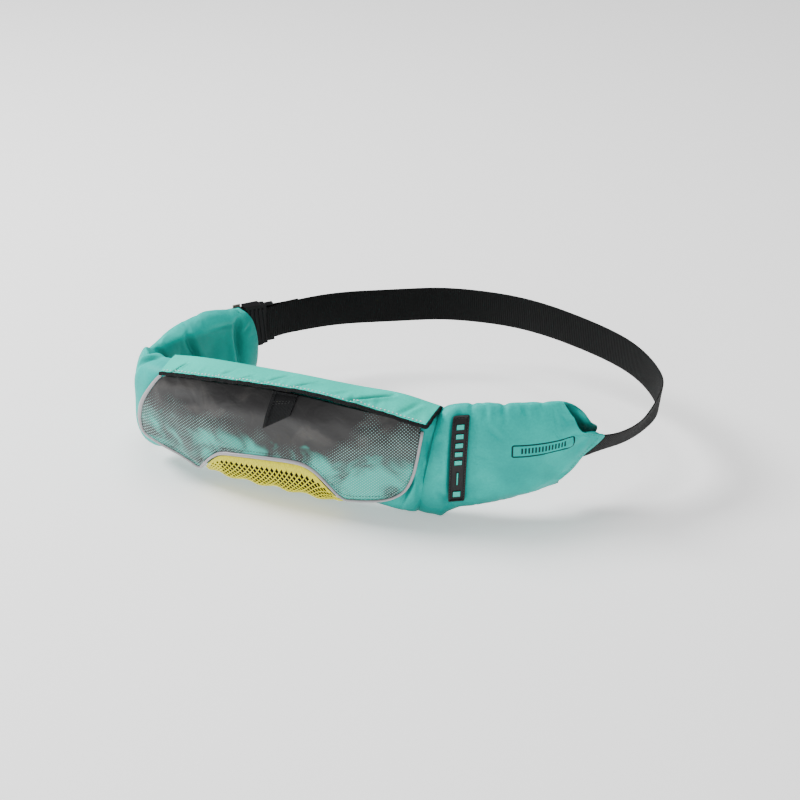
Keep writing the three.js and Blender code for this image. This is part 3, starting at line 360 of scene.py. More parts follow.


# Polyurethane-coated nylon, woven and then coated: a soft satin with a faint weave and slightly uneven dye, with
# painted shade in its folds and on the side turned to the wearer
def coatedNylonMaterial(name, values, marks=None):
    material, tree, shader = newMaterial(name, {
        "Base Color": hexColour(values["lit"]), "Roughness": values["roughness"], "IOR": 1.5,
        "Specular IOR Level": values["gloss"],
    })
    place = clothCoordinates(tree)
    clouds = addNode(tree, "ShaderNodeTexNoise", {"Scale": 0.022, "Detail": 3.0}, {"Vector": place})
    dye = addNode(tree, "ShaderNodeMapRange", {"From Min": 0.35, "From Max": 0.68}, {"Value": clouds.outputs[0]})
    colour = mixColour(tree, dye.outputs[0], hexColour(values["shade"]), hexColour(values["lit"]))
    # convex edges, picked out by pointiness, are mixed towards a paler teal
    geometry = addNode(tree, "ShaderNodeNewGeometry")
    edges = addNode(tree, "ShaderNodeMapRange", {"From Min": 0.5, "From Max": 0.62},
                    {"Value": geometry.outputs["Pointiness"]})
    paleEdges = mathNode(tree, "MULTIPLY", edges.outputs[0], values["edgeTintShare"])
    colour = mixColour(tree, paleEdges, colour, hexColour(values["edgeTint"]))
    # painted shade: an ambient occlusion node mixes the colour towards a deeper teal in the folds and hollows of this
    # cloth, where shade falls
    openness = addNode(tree, "ShaderNodeAmbientOcclusion", {"samples": 8, "Distance": 0.04})
    foldShadeShare = addNode(tree, "ShaderNodeMapRange", {"From Min": 0.92, "From Max": 0.42, "To Max": 0.9},
                     {"Value": openness.outputs["AO"]})
    colour = mixColour(tree, foldShadeShare.outputs[0], colour, hexColour(values["hollow"]))
    # painted shade: the side turned to the wearer lies further up this map, and is painted a deeper teal below its
    # padded top, where shade falls
    level = addNode(tree, "ShaderNodeSeparateXYZ", links={0: place}).outputs[1]
    below = addNode(tree, "ShaderNodeMapRange", {"From Min": values["innerTo"] + values["innerEdge"],
                                                 "From Max": values["innerTo"] - values["innerEdge"]},
                    {"Value": level})
    inner = mathNode(tree, "MULTIPLY", below.outputs[0], mathNode(tree, "GREATER_THAN", level, values["innerFrom"]))
    innerShadeMask = mathNode(tree, "MULTIPLY", inner, values["innerShare"])
    colour = mixColour(tree, innerShadeMask, colour, hexColour(values["inner"]))
    grain = addNode(tree, "ShaderNodeTexNoise", {"Scale": 0.45, "Detail": 5.0}, {"Vector": place})
    fleck = addNode(tree, "ShaderNodeMapRange", {"From Min": 0.3, "From Max": 0.7, "To Min": 0.93, "To Max": 1.05},
                    {"Value": grain.outputs[0]})
    colour = mixColour(tree, 1.0, colour, fleck.outputs[0], "MULTIPLY")
    if marks:
        colour = marks(tree, colour)
    tree.links.new(colour, shader.inputs["Base Color"])
    rough = addNode(tree, "ShaderNodeMapRange", {"To Min": values["roughness"] - 0.08,
                                                 "To Max": values["roughness"] + 0.1},
                    {"Value": grain.outputs[0]})
    tree.links.new(rough.outputs[0], shader.inputs["Roughness"])
    weave = addNode(tree, "ShaderNodeBump", {"Strength": 0.25, "Distance": values["weaveDeep"] * mm},
                    {"Height": weaveHeight(tree, values["threadPitch"])})
    pucker = addNode(tree, "ShaderNodeTexNoise", {"Scale": 0.11, "Detail": 4.0, "Roughness": 0.55, "Distortion": 0.6},
                     {"Vector": place})
    soft = addNode(tree, "ShaderNodeBump", {"Strength": 0.5, "Distance": values["puckerDeep"] * mm},
                   {"Height": pucker.outputs[0], "Normal": weave.outputs[0]})
    tree.links.new(soft.outputs[0], shader.inputs["Normal"])
    return material


printedBox = {
    "left": 214, "right": 272, "low": -2.6, "high": 9.4, "rise": 0.03, "bow": 1.4, "line": 1.6, "corner": 1.6,
    "ink": "#011c20", "inkShare": 0.94, "ticks": 14, "tickWide": 1.7, "tickHigh": 6.0, "tickMargin": 7,
}


# Screen print: a thin dark outline with a row of plain ticks in it, where the real one has words
def printedMarks(tree, colour):
    box = printedBox
    place = addNode(tree, "ShaderNodeSeparateXYZ", links={0: clothCoordinates(tree)})
    middle, half = (box["left"] + box["right"]) / 2, (box["right"] - box["left"]) / 2
    across = mathNode(tree, "SUBTRACT", place.outputs[0], middle)
    share = mathNode(tree, "DIVIDE", across, half)
    bow = mathNode(tree, "MULTIPLY", mathNode(tree, "MULTIPLY", share, share), box["bow"])
    tilt = mathNode(tree, "MULTIPLY", across, box["rise"])
    up = mathNode(tree, "SUBTRACT", mathNode(tree, "SUBTRACT", place.outputs[1], tilt), bow)
    up = mathNode(tree, "SUBTRACT", up, (box["low"] + box["high"]) / 2)
    tall = (box["high"] - box["low"]) / 2
    reachX = mathNode(tree, "MAXIMUM", mathNode(tree, "SUBTRACT", mathNode(tree, "ABSOLUTE", across),
                                                half - box["corner"]), 0.0)
    reachY = mathNode(tree, "MAXIMUM", mathNode(tree, "SUBTRACT", mathNode(tree, "ABSOLUTE", up),
                                                tall - box["corner"]), 0.0)
    far = mathNode(tree, "SQRT", mathNode(tree, "ADD", mathNode(tree, "MULTIPLY", reachX, reachX),
                                          mathNode(tree, "MULTIPLY", reachY, reachY)))
    ring = mathNode(tree, "LESS_THAN", mathNode(tree, "ABSOLUTE", mathNode(tree, "SUBTRACT", far, box["corner"])),
                    box["line"] / 2)
    ticksHalf = half - box["tickMargin"]
    pitch = 2 * ticksHalf / box["ticks"]
    step = mathNode(tree, "SUBTRACT", mathNode(tree, "FRACT", mathNode(tree, "DIVIDE", mathNode(
        tree, "ADD", across, ticksHalf), pitch)), 0.5)
    tick = mathNode(tree, "LESS_THAN", mathNode(tree, "ABSOLUTE", step), box["tickWide"] / 2 / pitch)
    tick = mathNode(tree, "MULTIPLY", tick, mathNode(tree, "LESS_THAN", mathNode(tree, "ABSOLUTE", up),
                                                     box["tickHigh"] / 2))
    tick = mathNode(tree, "MULTIPLY", tick, mathNode(tree, "LESS_THAN", mathNode(tree, "ABSOLUTE", across), ticksHalf))
    ink = mathNode(tree, "MULTIPLY", mathNode(tree, "MAXIMUM", ring, tick), box["inkShare"])
    return mixColour(tree, ink, colour, hexColour(box["ink"]))


printedLaminate = {
    "base": "#121112", "sheenGrey": "#3a3735", "teal": "#01bba9", "dot": "#9ad6cf", "dotPitch": 2.3, "turn": 0.8,
    "roughness": 0.34,
}


# Woven laminate with a printed halftone: dots on a slanting lattice that swell in soft clouds, on charcoal
def printedLaminateMaterial(values):
    material, tree, shader = newMaterial("printedLaminateCharcoal", {
        "Base Color": hexColour(values["base"]), "Roughness": values["roughness"], "IOR": 1.5,
        "Coat Weight": 0.08, "Coat Roughness": 0.25,
    })
    place = clothCoordinates(tree)
    axes = addNode(tree, "ShaderNodeSeparateXYZ", links={0: place})

    def clouds(scale, shift, detail, distortion):
        moved = addNode(tree, "ShaderNodeMapping", {"Location": shift}, {"Vector": place})
        return addNode(tree, "ShaderNodeTexNoise", {"Scale": scale, "Detail": detail, "Distortion": distortion},
                       {"Vector": moved.outputs[0]}).outputs[0]

    def ramp(value, low, high, toLow=0.0, toHigh=1.0):
        return addNode(tree, "ShaderNodeMapRange", {"From Min": low, "From Max": high, "To Min": toLow,
                                                    "To Max": toHigh, "interpolation_type": "SMOOTHSTEP"},
                       {"Value": value}).outputs[0]

    # painted sheen: grey clouds mixed in over the upper part of the panel stand in for the gloss of the laminate under
    # the lamps
    drift = clouds(0.024, (37.0, -12.0, 4.0), 4.0, 1.1)
    sheenPatches = mathNode(tree, "MULTIPLY", ramp(drift, 0.5, 0.66, 0.0, 0.8), ramp(axes.outputs[1], -12.0, 24.0))
    ground = mixColour(tree, sheenPatches, hexColour(values["base"]), hexColour(values["sheenGrey"]))
    # teal clouds gather low on the panel and towards its right end
    low = ramp(axes.outputs[1], 30.0, -20.0, -0.4, 0.02)
    right = ramp(axes.outputs[0], -110.0, 100.0, -0.02, 0.06)
    lean = mathNode(tree, "ADD", low, right)
    tealShare = ramp(mathNode(tree, "ADD", clouds(0.034, (3.0, 21.0, 0.0), 3.0, 0.6), lean), 0.42, 0.7)
    ground = mixColour(tree, mathNode(tree, "MULTIPLY", tealShare, 0.9), ground, hexColour(values["teal"]))
    # the dots are a little coarser than the printed ones, so that they still show at this size
    lattice = clothCoordinates(tree, values["turn"], 1000 / values["dotPitch"])
    cell = addNode(tree, "ShaderNodeVectorMath", {"operation": "FRACTION"}, {0: lattice})
    off = addNode(tree, "ShaderNodeVectorMath", {"operation": "SUBTRACT", 1: (0.5, 0.5, 0.0)},
                  {0: cell.outputs[0]})
    flat = addNode(tree, "ShaderNodeVectorMath", {"operation": "MULTIPLY", 1: (1.0, 1.0, 0.0)}, {0: off.outputs[0]})
    far = addNode(tree, "ShaderNodeVectorMath", {"operation": "LENGTH"}, {0: flat.outputs[0]}).outputs["Value"]
    # they begin lower in the middle of the panel than at its ends
    begin = mathNode(tree, "ADD", ramp(axes.outputs[0], -90.0, 0.0, 20.0, 4.0),
                     ramp(axes.outputs[0], 44.0, 96.0, 0.0, 40.0))
    sunk = mathNode(tree, "DIVIDE", mathNode(tree, "SUBTRACT", begin, axes.outputs[1]), 55.0)
    swell = mathNode(tree, "ADD", mathNode(tree, "MULTIPLY", clouds(0.03, (-11.0, 5.0, 8.0), 2.0, 0.4), 1.3), sunk)
    radius = ramp(swell, 0.45, 1.3, 0.0, 0.27)
    dot = ramp(mathNode(tree, "SUBTRACT", far, radius), 0.05, -0.05)
    present = mathNode(tree, "MULTIPLY", dot, mathNode(tree, "GREATER_THAN", radius, 0.04))
    colour = mixColour(tree, mathNode(tree, "MULTIPLY", present, 0.7), ground, hexColour(values["dot"]))
    tree.links.new(colour, shader.inputs["Base Color"])
    rough = addNode(tree, "ShaderNodeMapRange", {"To Min": 0.26, "To Max": 0.46}, {"Value": drift})
    tree.links.new(rough.outputs[0], shader.inputs["Roughness"])
    weave = addNode(tree, "ShaderNodeBump", {"Strength": 0.3, "Distance": 0.06 * mm},
                    {"Height": weaveHeight(tree, 1.2, 0.78)})
    dents = addNode(tree, "ShaderNodeBump", {"Strength": 0.5, "Distance": 1.4 * mm},
                    {"Height": addNode(tree, "ShaderNodeTexNoise", {"Scale": 0.05, "Detail": 3.0, "Distortion": 0.8},
                                       {"Vector": place}).outputs[0], "Normal": weave.outputs[0]})
    tree.links.new(dents.outputs[0], shader.inputs["Normal"])
    return material


wovenTape = {
    "webbing": {"colour": "#030303", "ridgeHighlight": "#0b0b0c", "pitch": 2.3, "deep": 0.3, "roughness": 0.8},
    "binding": {"colour": "#050607", "ridgeHighlight": "#111316", "pitch": 1.5, "deep": 0.2, "roughness": 0.7},
}


# Woven polyester tape: thick weft ridges across it, crossed by fine warp lines, matt with a faint lustre
def wovenTapeMaterial(name, values):
    material, tree, shader = newMaterial(name, {
        "Base Color": hexColour(values["colour"]), "Roughness": values["roughness"], "IOR": 1.4,
        "Specular IOR Level": 0.3,
    })
    axes = addNode(tree, "ShaderNodeSeparateXYZ", links={0: clothCoordinates(tree)})
    rib = mathNode(tree, "SINE", mathNode(tree, "MULTIPLY", axes.outputs[0], 2 * math.pi / values["pitch"]))
    warp = mathNode(tree, "SINE", mathNode(tree, "MULTIPLY", axes.outputs[1], 2 * math.pi / 1.6))
    ridges = mathNode(tree, "ADD", rib, mathNode(tree, "MULTIPLY", warp, 0.35))
    speck = addNode(tree, "ShaderNodeTexNoise", {"Scale": 0.5, "Detail": 6.0}, {"Vector": clothCoordinates(tree)})
    # painted highlight: the tops of the weft ridges are mixed towards a lighter black, where light catches them
    lit = addNode(tree, "ShaderNodeMapRange", {"From Min": -1.3, "From Max": 1.35}, {"Value": ridges})
    share = mathNode(tree, "MULTIPLY", lit.outputs[0], speck.outputs[0])
    colour = mixColour(tree, share, hexColour(values["colour"]), hexColour(values["ridgeHighlight"]))
    tree.links.new(colour, shader.inputs["Base Color"])
    bump = addNode(tree, "ShaderNodeBump", {"Strength": 0.8, "Distance": values["deep"] * mm}, {"Height": ridges})
    tree.links.new(bump.outputs[0], shader.inputs["Normal"])
    return material


mouldings = {
    "buckle": {"colour": "#030304", "edge": "#121115", "grain": 1.4, "deep": 0.08, "roughness": 0.38},
    "label": {"colour": "#0c0a0d", "edge": "#1e1b20", "grain": 0.9, "deep": 0.05, "roughness": 0.5},
    "labelMarks": {"colour": "#12c9b6", "edge": "#4fe0d0", "grain": 0.9, "deep": 0.05, "roughness": 0.45},
    "tip": {"colour": "#8b857b", "edge": "#aaa59c", "grain": 1.0, "deep": 0.06, "roughness": 0.45},
    "piping": {"colour": "#a39fa3", "edge": "#c2bfc2", "grain": 0.7, "deep": 0.06, "roughness": 0.34},
}


# Moulded plastic or rubber with a fine spark-eroded grain, and convex edges a little lighter
def mouldedMaterial(name, values, settings=None):
    material, tree, shader = newMaterial(name, {
        "Base Color": hexColour(values["colour"]), "Roughness": values["roughness"], "IOR": 1.5,
        "Specular IOR Level": 0.35, **(settings or {}),
    })
    place = addNode(tree, "ShaderNodeTexCoord").outputs["Object"]
    grain = addNode(tree, "ShaderNodeTexNoise", {"Scale": 1000 / values["grain"], "Detail": 3.0}, {"Vector": place})
    patches = addNode(tree, "ShaderNodeTexNoise", {"Scale": 60.0, "Detail": 4.0}, {"Vector": place})
    geometry = addNode(tree, "ShaderNodeNewGeometry")
    edges = addNode(tree, "ShaderNodeMapRange", {"From Min": 0.51, "From Max": 0.6, "To Max": 0.6},
                    {"Value": geometry.outputs["Pointiness"]})
    share = mathNode(tree, "ADD", edges.outputs[0], mathNode(tree, "MULTIPLY", patches.outputs[0], 0.15))
    tree.links.new(mixColour(tree, share, hexColour(values["colour"]), hexColour(values["edge"])),
                   shader.inputs["Base Color"])
    rough = addNode(tree, "ShaderNodeMapRange", {"To Min": values["roughness"] - 0.08,
                                                 "To Max": values["roughness"] + 0.12},
                    {"Value": patches.outputs[0]})
    tree.links.new(rough.outputs[0], shader.inputs["Roughness"])
    bump = addNode(tree, "ShaderNodeBump", {"Strength": 0.4, "Distance": values["deep"] * mm},
                   {"Height": grain.outputs[0]})
    tree.links.new(bump.outputs[0], shader.inputs["Normal"])
    return material


knitNet = {"lit": "#fff81a", "shade": "#ddd30c", "roughness": 0.62}


# Knitted polyester net: bright yellow yarn, fuzzy and a little darker between its loops
def knitNetMaterial(values):
    material, tree, shader = newMaterial("knitNetYellow", {
        "Base Color": hexColour(values["lit"]), "Roughness": values["roughness"], "Sheen Weight": 0.25,
        "Sheen Roughness": 0.4, "Subsurface Weight": 0.05, "Subsurface Radius": (0.002, 0.0016, 0.0005),
    })
    place = clothCoordinates(tree)
    loops = addNode(tree, "ShaderNodeTexVoronoi", {"Scale": 1.1}, {"Vector": place})
    share = addNode(tree, "ShaderNodeMapRange", {"From Min": 0.0, "From Max": 0.75}, {"Value": loops.outputs[0]})
    tree.links.new(mixColour(tree, share.outputs[0], hexColour(values["lit"]), hexColour(values["shade"])),
                   shader.inputs["Base Color"])
    bump = addNode(tree, "ShaderNodeBump", {"Strength": 0.6, "Distance": 0.35 * mm}, {"Height": loops.outputs[0]})
    tree.links.new(bump.outputs[0], shader.inputs["Normal"])
    return material


# Spun polyester thread: slightly glossy, and uneven in tone along its twist
def threadMaterial(name, colour):
    material, tree, shader = newMaterial(name, {
        "Base Color": hexColour(colour), "Roughness": 0.5, "Sheen Weight": 0.2, "Sheen Roughness": 0.4,
    })
    place = addNode(tree, "ShaderNodeTexCoord").outputs["Object"]
    twist = addNode(tree, "ShaderNodeTexNoise", {"Scale": 1800.0, "Detail": 2.0}, {"Vector": place})
    tree.links.new(mixColour(tree, mathNode(tree, "MULTIPLY", twist.outputs[0], 0.5), hexColour(colour),
                             [c * 0.55 for c in hexColour(colour)[:3]] + [1]), shader.inputs["Base Color"])
    bump = addNode(tree, "ShaderNodeBump", {"Strength": 0.5, "Distance": 0.1 * mm}, {"Height": twist.outputs[0]})
    tree.links.new(bump.outputs[0], shader.inputs["Normal"])
    return material


materials = {
    "body": coatedNylonMaterial("coatedNylonTeal", coatedNylon),
    "wing": coatedNylonMaterial("coatedNylonTealPrinted", coatedNylon, printedMarks),
    # painted light: the top flap gets a lighter copy of the teal cloth, standing in for the light on its upward face
    "flap": coatedNylonMaterial("coatedNylonTealPaintedLit", {**coatedNylon, "lit": "#16d8c2", "shade": "#0ecab4",
                                                         "puckerDeep": 0.7}),
    "panel": printedLaminateMaterial(printedLaminate),
    "webbing": wovenTapeMaterial("wovenPolyesterWebbing", wovenTape["webbing"]),
    "binding": wovenTapeMaterial("wovenBindingTape", wovenTape["binding"]),
    "buckle": mouldedMaterial("mouldedAcetalCharcoal", mouldings["buckle"], {"Specular IOR Level": 0.15}),
    "label": mouldedMaterial("mouldedRubberDark", mouldings["label"]),
    "labelMarks": mouldedMaterial("mouldedRubberTeal", mouldings["labelMarks"]),
    "tip": mouldedMaterial("mouldedNylonGrey", mouldings["tip"]),
    "piping": mouldedMaterial("reflectivePipingTape", mouldings["piping"], {"Metallic": 0.15}),
    "net": knitNetMaterial(knitNet),
    "lining": wovenTapeMaterial("wovenLiningBlack", {**wovenTape["binding"], "colour": "#030303", "ridgeHighlight": "#070707"}),
    "paleThread": threadMaterial("spunThreadPale", "#ffffff"),
    "tealThread": threadMaterial("spunThreadTeal", "#07a897"),
    "darkThread": threadMaterial("spunThreadBlack", "#0b0b0c"),
}
print("materials made")

# Camera, floor and light

camera = {"at": (0.6134, -1.3093, 0.8), "towards": (0.00597, -0.06392, 0.0), "lens": 72}
cameraData = bpy.data.cameras.new("camera")
cameraData.lens = camera["lens"]
cameraObject = bpy.data.objects.new("camera", cameraData)
cameraObject.location = camera["at"]
looking = Vector(camera["towards"]) - Vector(camera["at"])
cameraObject.rotation_euler = looking.to_track_quat("-Z", "Y").to_euler()
bpy.context.scene.collection.objects.link(cameraObject)
bpy.context.scene.camera = cameraObject

studio = {"floor": "#fbfbfb", "floorGlow": 0.45, "floorHalf": 6.0, "floorBelow": 0.004, "world": 0.33,
          "lamps": [{"name": "keyLamp", "at": (-1.85, -0.35, 1.7), "size": 1.0, "power": 84},
                    {"name": "fillLamp", "at": (0.6, -2.1, 1.0), "size": 1.8, "power": 12},
                    {"name": "topLamp", "at": (-0.2, 0.4, 2.3), "size": 1.5, "power": 32}]}


def buildStudio():
    bm = bmesh.new()
    low = cadBounds[0][2] - studio["floorBelow"]
    bmesh.ops.create_grid(bm, x_segments=2, y_segments=2, size=studio["floorHalf"],
                          matrix=Matrix.Translation((0, 0, low)))
    material, tree, shader = newMaterial("paintedFloorWhite", {
        "Base Color": hexColour(studio["floor"]), "Roughness": 0.6,
        "Emission Color": (1, 1, 1, 1), "Emission Strength": studio["floorGlow"]})
    meshObject("floor", bm, material)
    world = bpy.data.worlds.new("studioLight")
    world.use_nodes = True
    world.node_tree.nodes["Background"].inputs[0].default_value = (1, 1, 1, 1)
    world.node_tree.nodes["Background"].inputs[1].default_value = studio["world"]
    bpy.context.scene.world = world
    for lamp in studio["lamps"]:
        data = bpy.data.lights.new(lamp["name"], "AREA")
        data.energy, data.size, data.shape = lamp["power"], lamp["size"], "DISK"
        light = bpy.data.objects.new(lamp["name"], data)
        light.location = lamp["at"]
        light.rotation_euler = (Vector((0, 0, 0)) - Vector(lamp["at"])).to_track_quat("-Z", "Y").to_euler()
        bpy.context.scene.collection.objects.link(light)


buildStudio()
print("camera, floor and light set")

# Padded pouch and its two sleeves, as sections along the belt line in shares of the pack's sizes

pouch = {
    "cloth": 2.4, "columns": 174, "rounds": 70, "sectionSlant": 18, "swell": 3.2,
    # the right end runs on inside its sleeve, the left end laps over its own: depth, then where along the belt
    "tuck": (3.0, -7, -1), "lip": (2.2, 9, 0), "slantPower": 8, "innerShift": 200,
    # where along the belt the folds of the front begin to show, and where the cloth is left bare to swell
    "foldsFrom": (118, 128), "foldsTo": (-142, -150), "bareRight": (126, 134, 143, 138),
    "bareLeft": (-150, -156, -164, -160), "underside": (-42, -50, 112, 122), "behind": (0, -6, -160, -150, 140, 130),
    "behindShare": 0.8, "pinned": 4, "still": 0.02, "pressure": 3.5, "shrink": -0.01,
    "sections": {
        "along": [-0.569, -0.517, -0.45, -0.372, -0.28, -0.18, 0, 0.207, 0.31, 0.41, 0.464, 0.5],
        "top": [0.3, 0.335, 0.365, 0.4, 0.42, 0.44, 0.455, 0.445, 0.43, 0.4, 0.365, 0.345],
        "bottom": [-0.5, -0.54, -0.49, -0.48, -0.53, -0.54, -0.545, -0.56, -0.57, -0.62, -0.645, -0.67],
        "back": [-0.22] * 12,
        "front": [0.75, 0.9, 0.95, 0.96, 0.98, 1, 1, 1, 0.96, 0.9, 0.81, 0.62],
        "square": [0.8, 0.62, 0.55, 0.5, 0.45, 0.45, 0.45, 0.45, 0.5, 0.5, 0.58, 0.8],
    },
    "folds": [
        (132, -22, 117, -64, 3.0, 4.4, 1),
        (139.5, 36, 138, -56, 3.4, 5.2, 1),
        (137, 26, 140, -6, 3.4, 1.5, -1),
        (-163, 26, -152, -38, 4.0, 1.6, -1),
        (-150, 34, -140, 20, 3.5, 1.2, 1),
    ],
    # a slit across the top of the left end: places along the belt and out from it
    "slits": [(-158, 31, -148, 6, 2.2, 6.5, -1)],
}
rightWing = {
    "length": 159, "from": 0.5 * pouchLong, "way": 1, "bare": 0, "runOn": 0.68, "slant": 18, "swell": 3.0,
    "lap": 4,
    "sections": {
        "ahead": [0, 0.035, 0.075, 0.13, 0.2, 0.44, 0.71, 0.9, 1],
        "top": [0.35, 0.395, 0.42, 0.428, 0.43, 0.43, 0.435, 0.44, 0.445],
        "bottom": [-0.68, -0.69, -0.69, -0.665, -0.625, -0.54, -0.48, -0.475, -0.49],
        "back": [-0.24, -0.26, -0.28, -0.29, -0.3, -0.28, -0.24, -0.22, -0.22],
        "front": [0.63, 0.68, 0.7, 0.6, 0.52, 0.44, 0.34, 0.27, 0.24],
        "square": [0.8, 0.8, 0.85, 0.88, 0.9, 0.9, 0.95, 1, 1],
        "lean": [0, 0, 0, 0, 0, 0, 6, 16, 24],
    },
    # dips in the top edge and the drooping corner of the lower one: place along the belt, width and depth
    "topDips": [(177.5, 2.2, 2.2), (207, 3.0, 2.4), (243, 5.0, 1.2), (192, 5.0, -0.8)],
    "footDips": [(151, 4.0, 4.0), (168, 9.0, -1.4)],
    "mouth": {"up": [-0.45, -0.38, -0.17, 0.05, 0.09, 0.14, 0.29, 0.44],
              "short": [0.25, 0.2, 0.09, 0, 0.05, 0.15, 0.21, 0.27]},
    "frontFolds": [
        (163, 34, 161, -50, 3.0, 2.4, -1),
        (152, -40, 160, -62, 3.2, 2.4, 1),
        (192, 30, 204, 18, 1.8, 1.5, 1),
        (191, 49, 190, 38, 2.4, 1.6, 1),
        (224, 50, 226, 40, 2.6, 1.6, -1),
        (164, 46, 170, 36, 3.0, 1.2, 1),
        (276, 18, 262, 4, 3.2, 1.8, 1),
        (288, 4, 262, -8, 4.0, 1.2, -1),
        (246, -52, 262, -40, 3.5, 1.0, 1),
    ],
    "backFolds": [
        (262, 44, 292, 14, 3.4, 1.8, 1),
    ],
}
leftWing = {
    "length": 156, "from": -0.569 * pouchLong, "way": -1, "bare": 0.37, "runOn": 0, "slant": 0, "swell": 3.4,
    "lap": 16, "topDips": [(-162, 3.5, 4.0), (-190, 5.0, 2.4), (-203, 7.0, 1.2), (-262, 9.0, -1.2)], "footDips": [],
    "crest": (9, 8, 10.0),  # where the sleeve swells against the lip of the pouch: place out, width and height
    "sections": {
        "ahead": [0, 0.1, 0.25, 0.45, 0.7, 0.9, 1],
        "top": [0.19, 0.215, 0.25, 0.315, 0.34, 0.3, 0.27],
        "bottom": [-0.42, -0.46, -0.48, -0.5, -0.5, -0.49, -0.48],
        "back": [-0.1, -0.2, -0.32, -0.42, -0.44, -0.38, -0.3],
        "front": [0.58, 0.58, 0.43, 0.36, 0.34, 0.32, 0.3],
        "square": [1.0, 1.05, 0.95, 0.8, 0.75, 0.75, 0.8],
        "lean": [0] * 7,
    },
    "mouth": {"up": [-0.48, -0.1, 0.12, 0.22, 0.27], "short": [0.02, 0, 0.025, 0.065, 0.1]},
    "frontFolds": [
        (-200, 24, -206, -30, 4.0, 1.5, 1),
        (-235, 20, -232, -34, 4.5, 1.2, -1),
    ],
    # the inner layer is fuller along its top than below: height, tallness and depth of each roll
    "rolls": [(27, 6, 3.0), (2, 20, -5.5)],
    "backFolds": [
        (-231, 24, -246, -14, 3.4, 6.5, -1),
        (-262, 20, -262, -30, 10.0, 2.5, 1),
        (-296, 22, -294, -40, 5.5, 8.5, 1),
        (-311, 10, -304, 4, 2.4, 2.0, 1),
        (-192, 20, -206, -8, 4.0, 4.0, 1),
        (-252, 27, -290, 20, 2.6, 1.6, 1),
    ],
}
webbingHalf = 19
pouchFrom = -0.545 * pouchLong
pouchTo = pouch["sections"]["along"][-1] * pouchLong


def sectionSpot(sections, key, at, turn, inset=0.0):
    top = readTable(sections, key, "top", at) * height - inset
    bottom = readTable(sections, key, "bottom", at) * height + inset
    back = readTable(sections, key, "back", at) * depth + inset
    front = readTable(sections, key, "front", at) * depth - inset
    square = readTable(sections, key, "square", at)
    out = (front + back) / 2 + (front - back) / 2 * signedPower(np.sin(turn), square)
    up = (top + bottom) / 2 + (top - bottom) / 2 * signedPower(np.cos(turn), square)
    return out, up


def roundAt(sections, key, at, up):
    top = readTable(sections, key, "top", at) * height
    bottom = readTable(sections, key, "bottom", at) * height
    square = readTable(sections, key, "square", at)
    level = np.clip((2 * up - top - bottom) / (top - bottom), -1, 1)
    return np.arccos(signedPower(level, 1 / square)) / (2 * math.pi)


# How far a point at share `across` of the ring lies round it; even steps on the cloth, not on the angle
def evenTurn(share):
    angle = np.linspace(0, 2 * math.pi, 721)
    shape = np.stack([signedPower(np.sin(angle), 0.6) * 20, signedPower(np.cos(angle), 0.6) * 50], axis=1)
    walked = np.concatenate([[0], np.cumsum(np.linalg.norm(np.diff(shape, axis=0), axis=1))])
    return np.interp(share, walked / walked[-1], angle)


def buildPouch():
    def place(across, ahead):
        along = pouchFrom + ahead * (pouchTo - pouchFrom)
        turn = evenTurn(across)
        (tuck, tuckFrom, tuckTo), (lip, lipFrom, lipTo) = pouch["tuck"], pouch["lip"]
        tucked = tuck * ease(pouchTo + tuckFrom, pouchTo + tuckTo, along)
        flared = -lip * ease(pouchFrom + lipFrom, pouchFrom + lipTo, along)
        out, up = sectionSpot(pouch["sections"], "along", along / pouchLong, turn, tucked + flared)
        facing = np.sin(turn)
        shown = ease(*pouch["foldsFrom"], along) + ease(*pouch["foldsTo"], along)
        out = out - pressFolds(pouch["folds"], along, up) * np.clip(facing * 2, 0, 1) * shown
        up = up - pressFolds(pouch["slits"], along, out) * np.clip(np.cos(turn) * 1.5, 0, 1)
        return spot(along + pouch["sectionSlant"] * (up / height) * ahead ** pouch["slantPower"], out, up)

    def flat(across, ahead):
        along = pouchFrom + ahead * (pouchTo - pouchFrom)
        out, up = sectionSpot(pouch["sections"], "along", along / pouchLong, evenTurn(across))
        return along, np.where(np.sin(evenTurn(across)) >= 0, up, up + pouch["innerShift"])

    bm = clothGrid(pouch["rounds"], pouch["columns"], place, flat, wrapped=True)
    faceOutwards(bm, beltMiddle)
    piece = meshObject("pouchBody", bm, materials["body"])
    points = np.array([v.co[:] for v in piece.data.vertices]) / mm
    along = nearestAlong(points)
    # the panel, flap and net lie on the middle of the front, which therefore stays where it is
    bareRight = between(pouch["bareRight"], along, along)
    bareLeft = between(pouch["bareLeft"], along, along)
    underside = between(pouch["underside"], points[:, 2], along)
    behind = between(pouch["behind"], outOf(points, along), along, along)
    share = np.clip(bareRight + bareLeft + underside + behind * pouch["behindShare"], 0, 1)
    atEnds = (np.abs(along - pouchTo) < pouch["pinned"]) | (np.abs(along - pouchFrom) < pouch["pinned"])
    puff(piece, share, atEnds | (share < pouch["still"]), pouch["pressure"], pouch["swell"], pouch["shrink"])
    subdivide(piece)
    thicken(piece, pouch["cloth"])
    return piece


def nearestAlong(points):
    found = []
    for x, y in points[:, :2]:
        i = np.argmin((beltPoints[:, 0] - x) ** 2 + (beltPoints[:, 1] - y) ** 2)
        found.append(beltAlong[i])
    found = np.array(found)
    return np.where(found > loopLength / 2, found - loopLength, found)


def outOf(points, along):
    middle = spot(along, 0, 0)
    ahead = heading(along)
    return (points[:, 0] - middle[:, 0]) * ahead[:, 1] - (points[:, 1] - middle[:, 1]) * ahead[:, 0]


def wingReach(wing, ahead, turn, up):
    side = np.sin(turn)
    kept = 1 - wing["runOn"] * np.maximum(0, -side) ** 2
    short = readTable(wing["mouth"], "up", "short", up / height) * kept + np.maximum(0, side) * wing["bare"]
    seam = wing["slant"] * (up / height) * (1 - ahead) ** 4
    start = -wing["lap"] * (1 - ahead) ** 8
    return start + seam + wing["length"] * ahead * (1 - ahead * ahead * short)


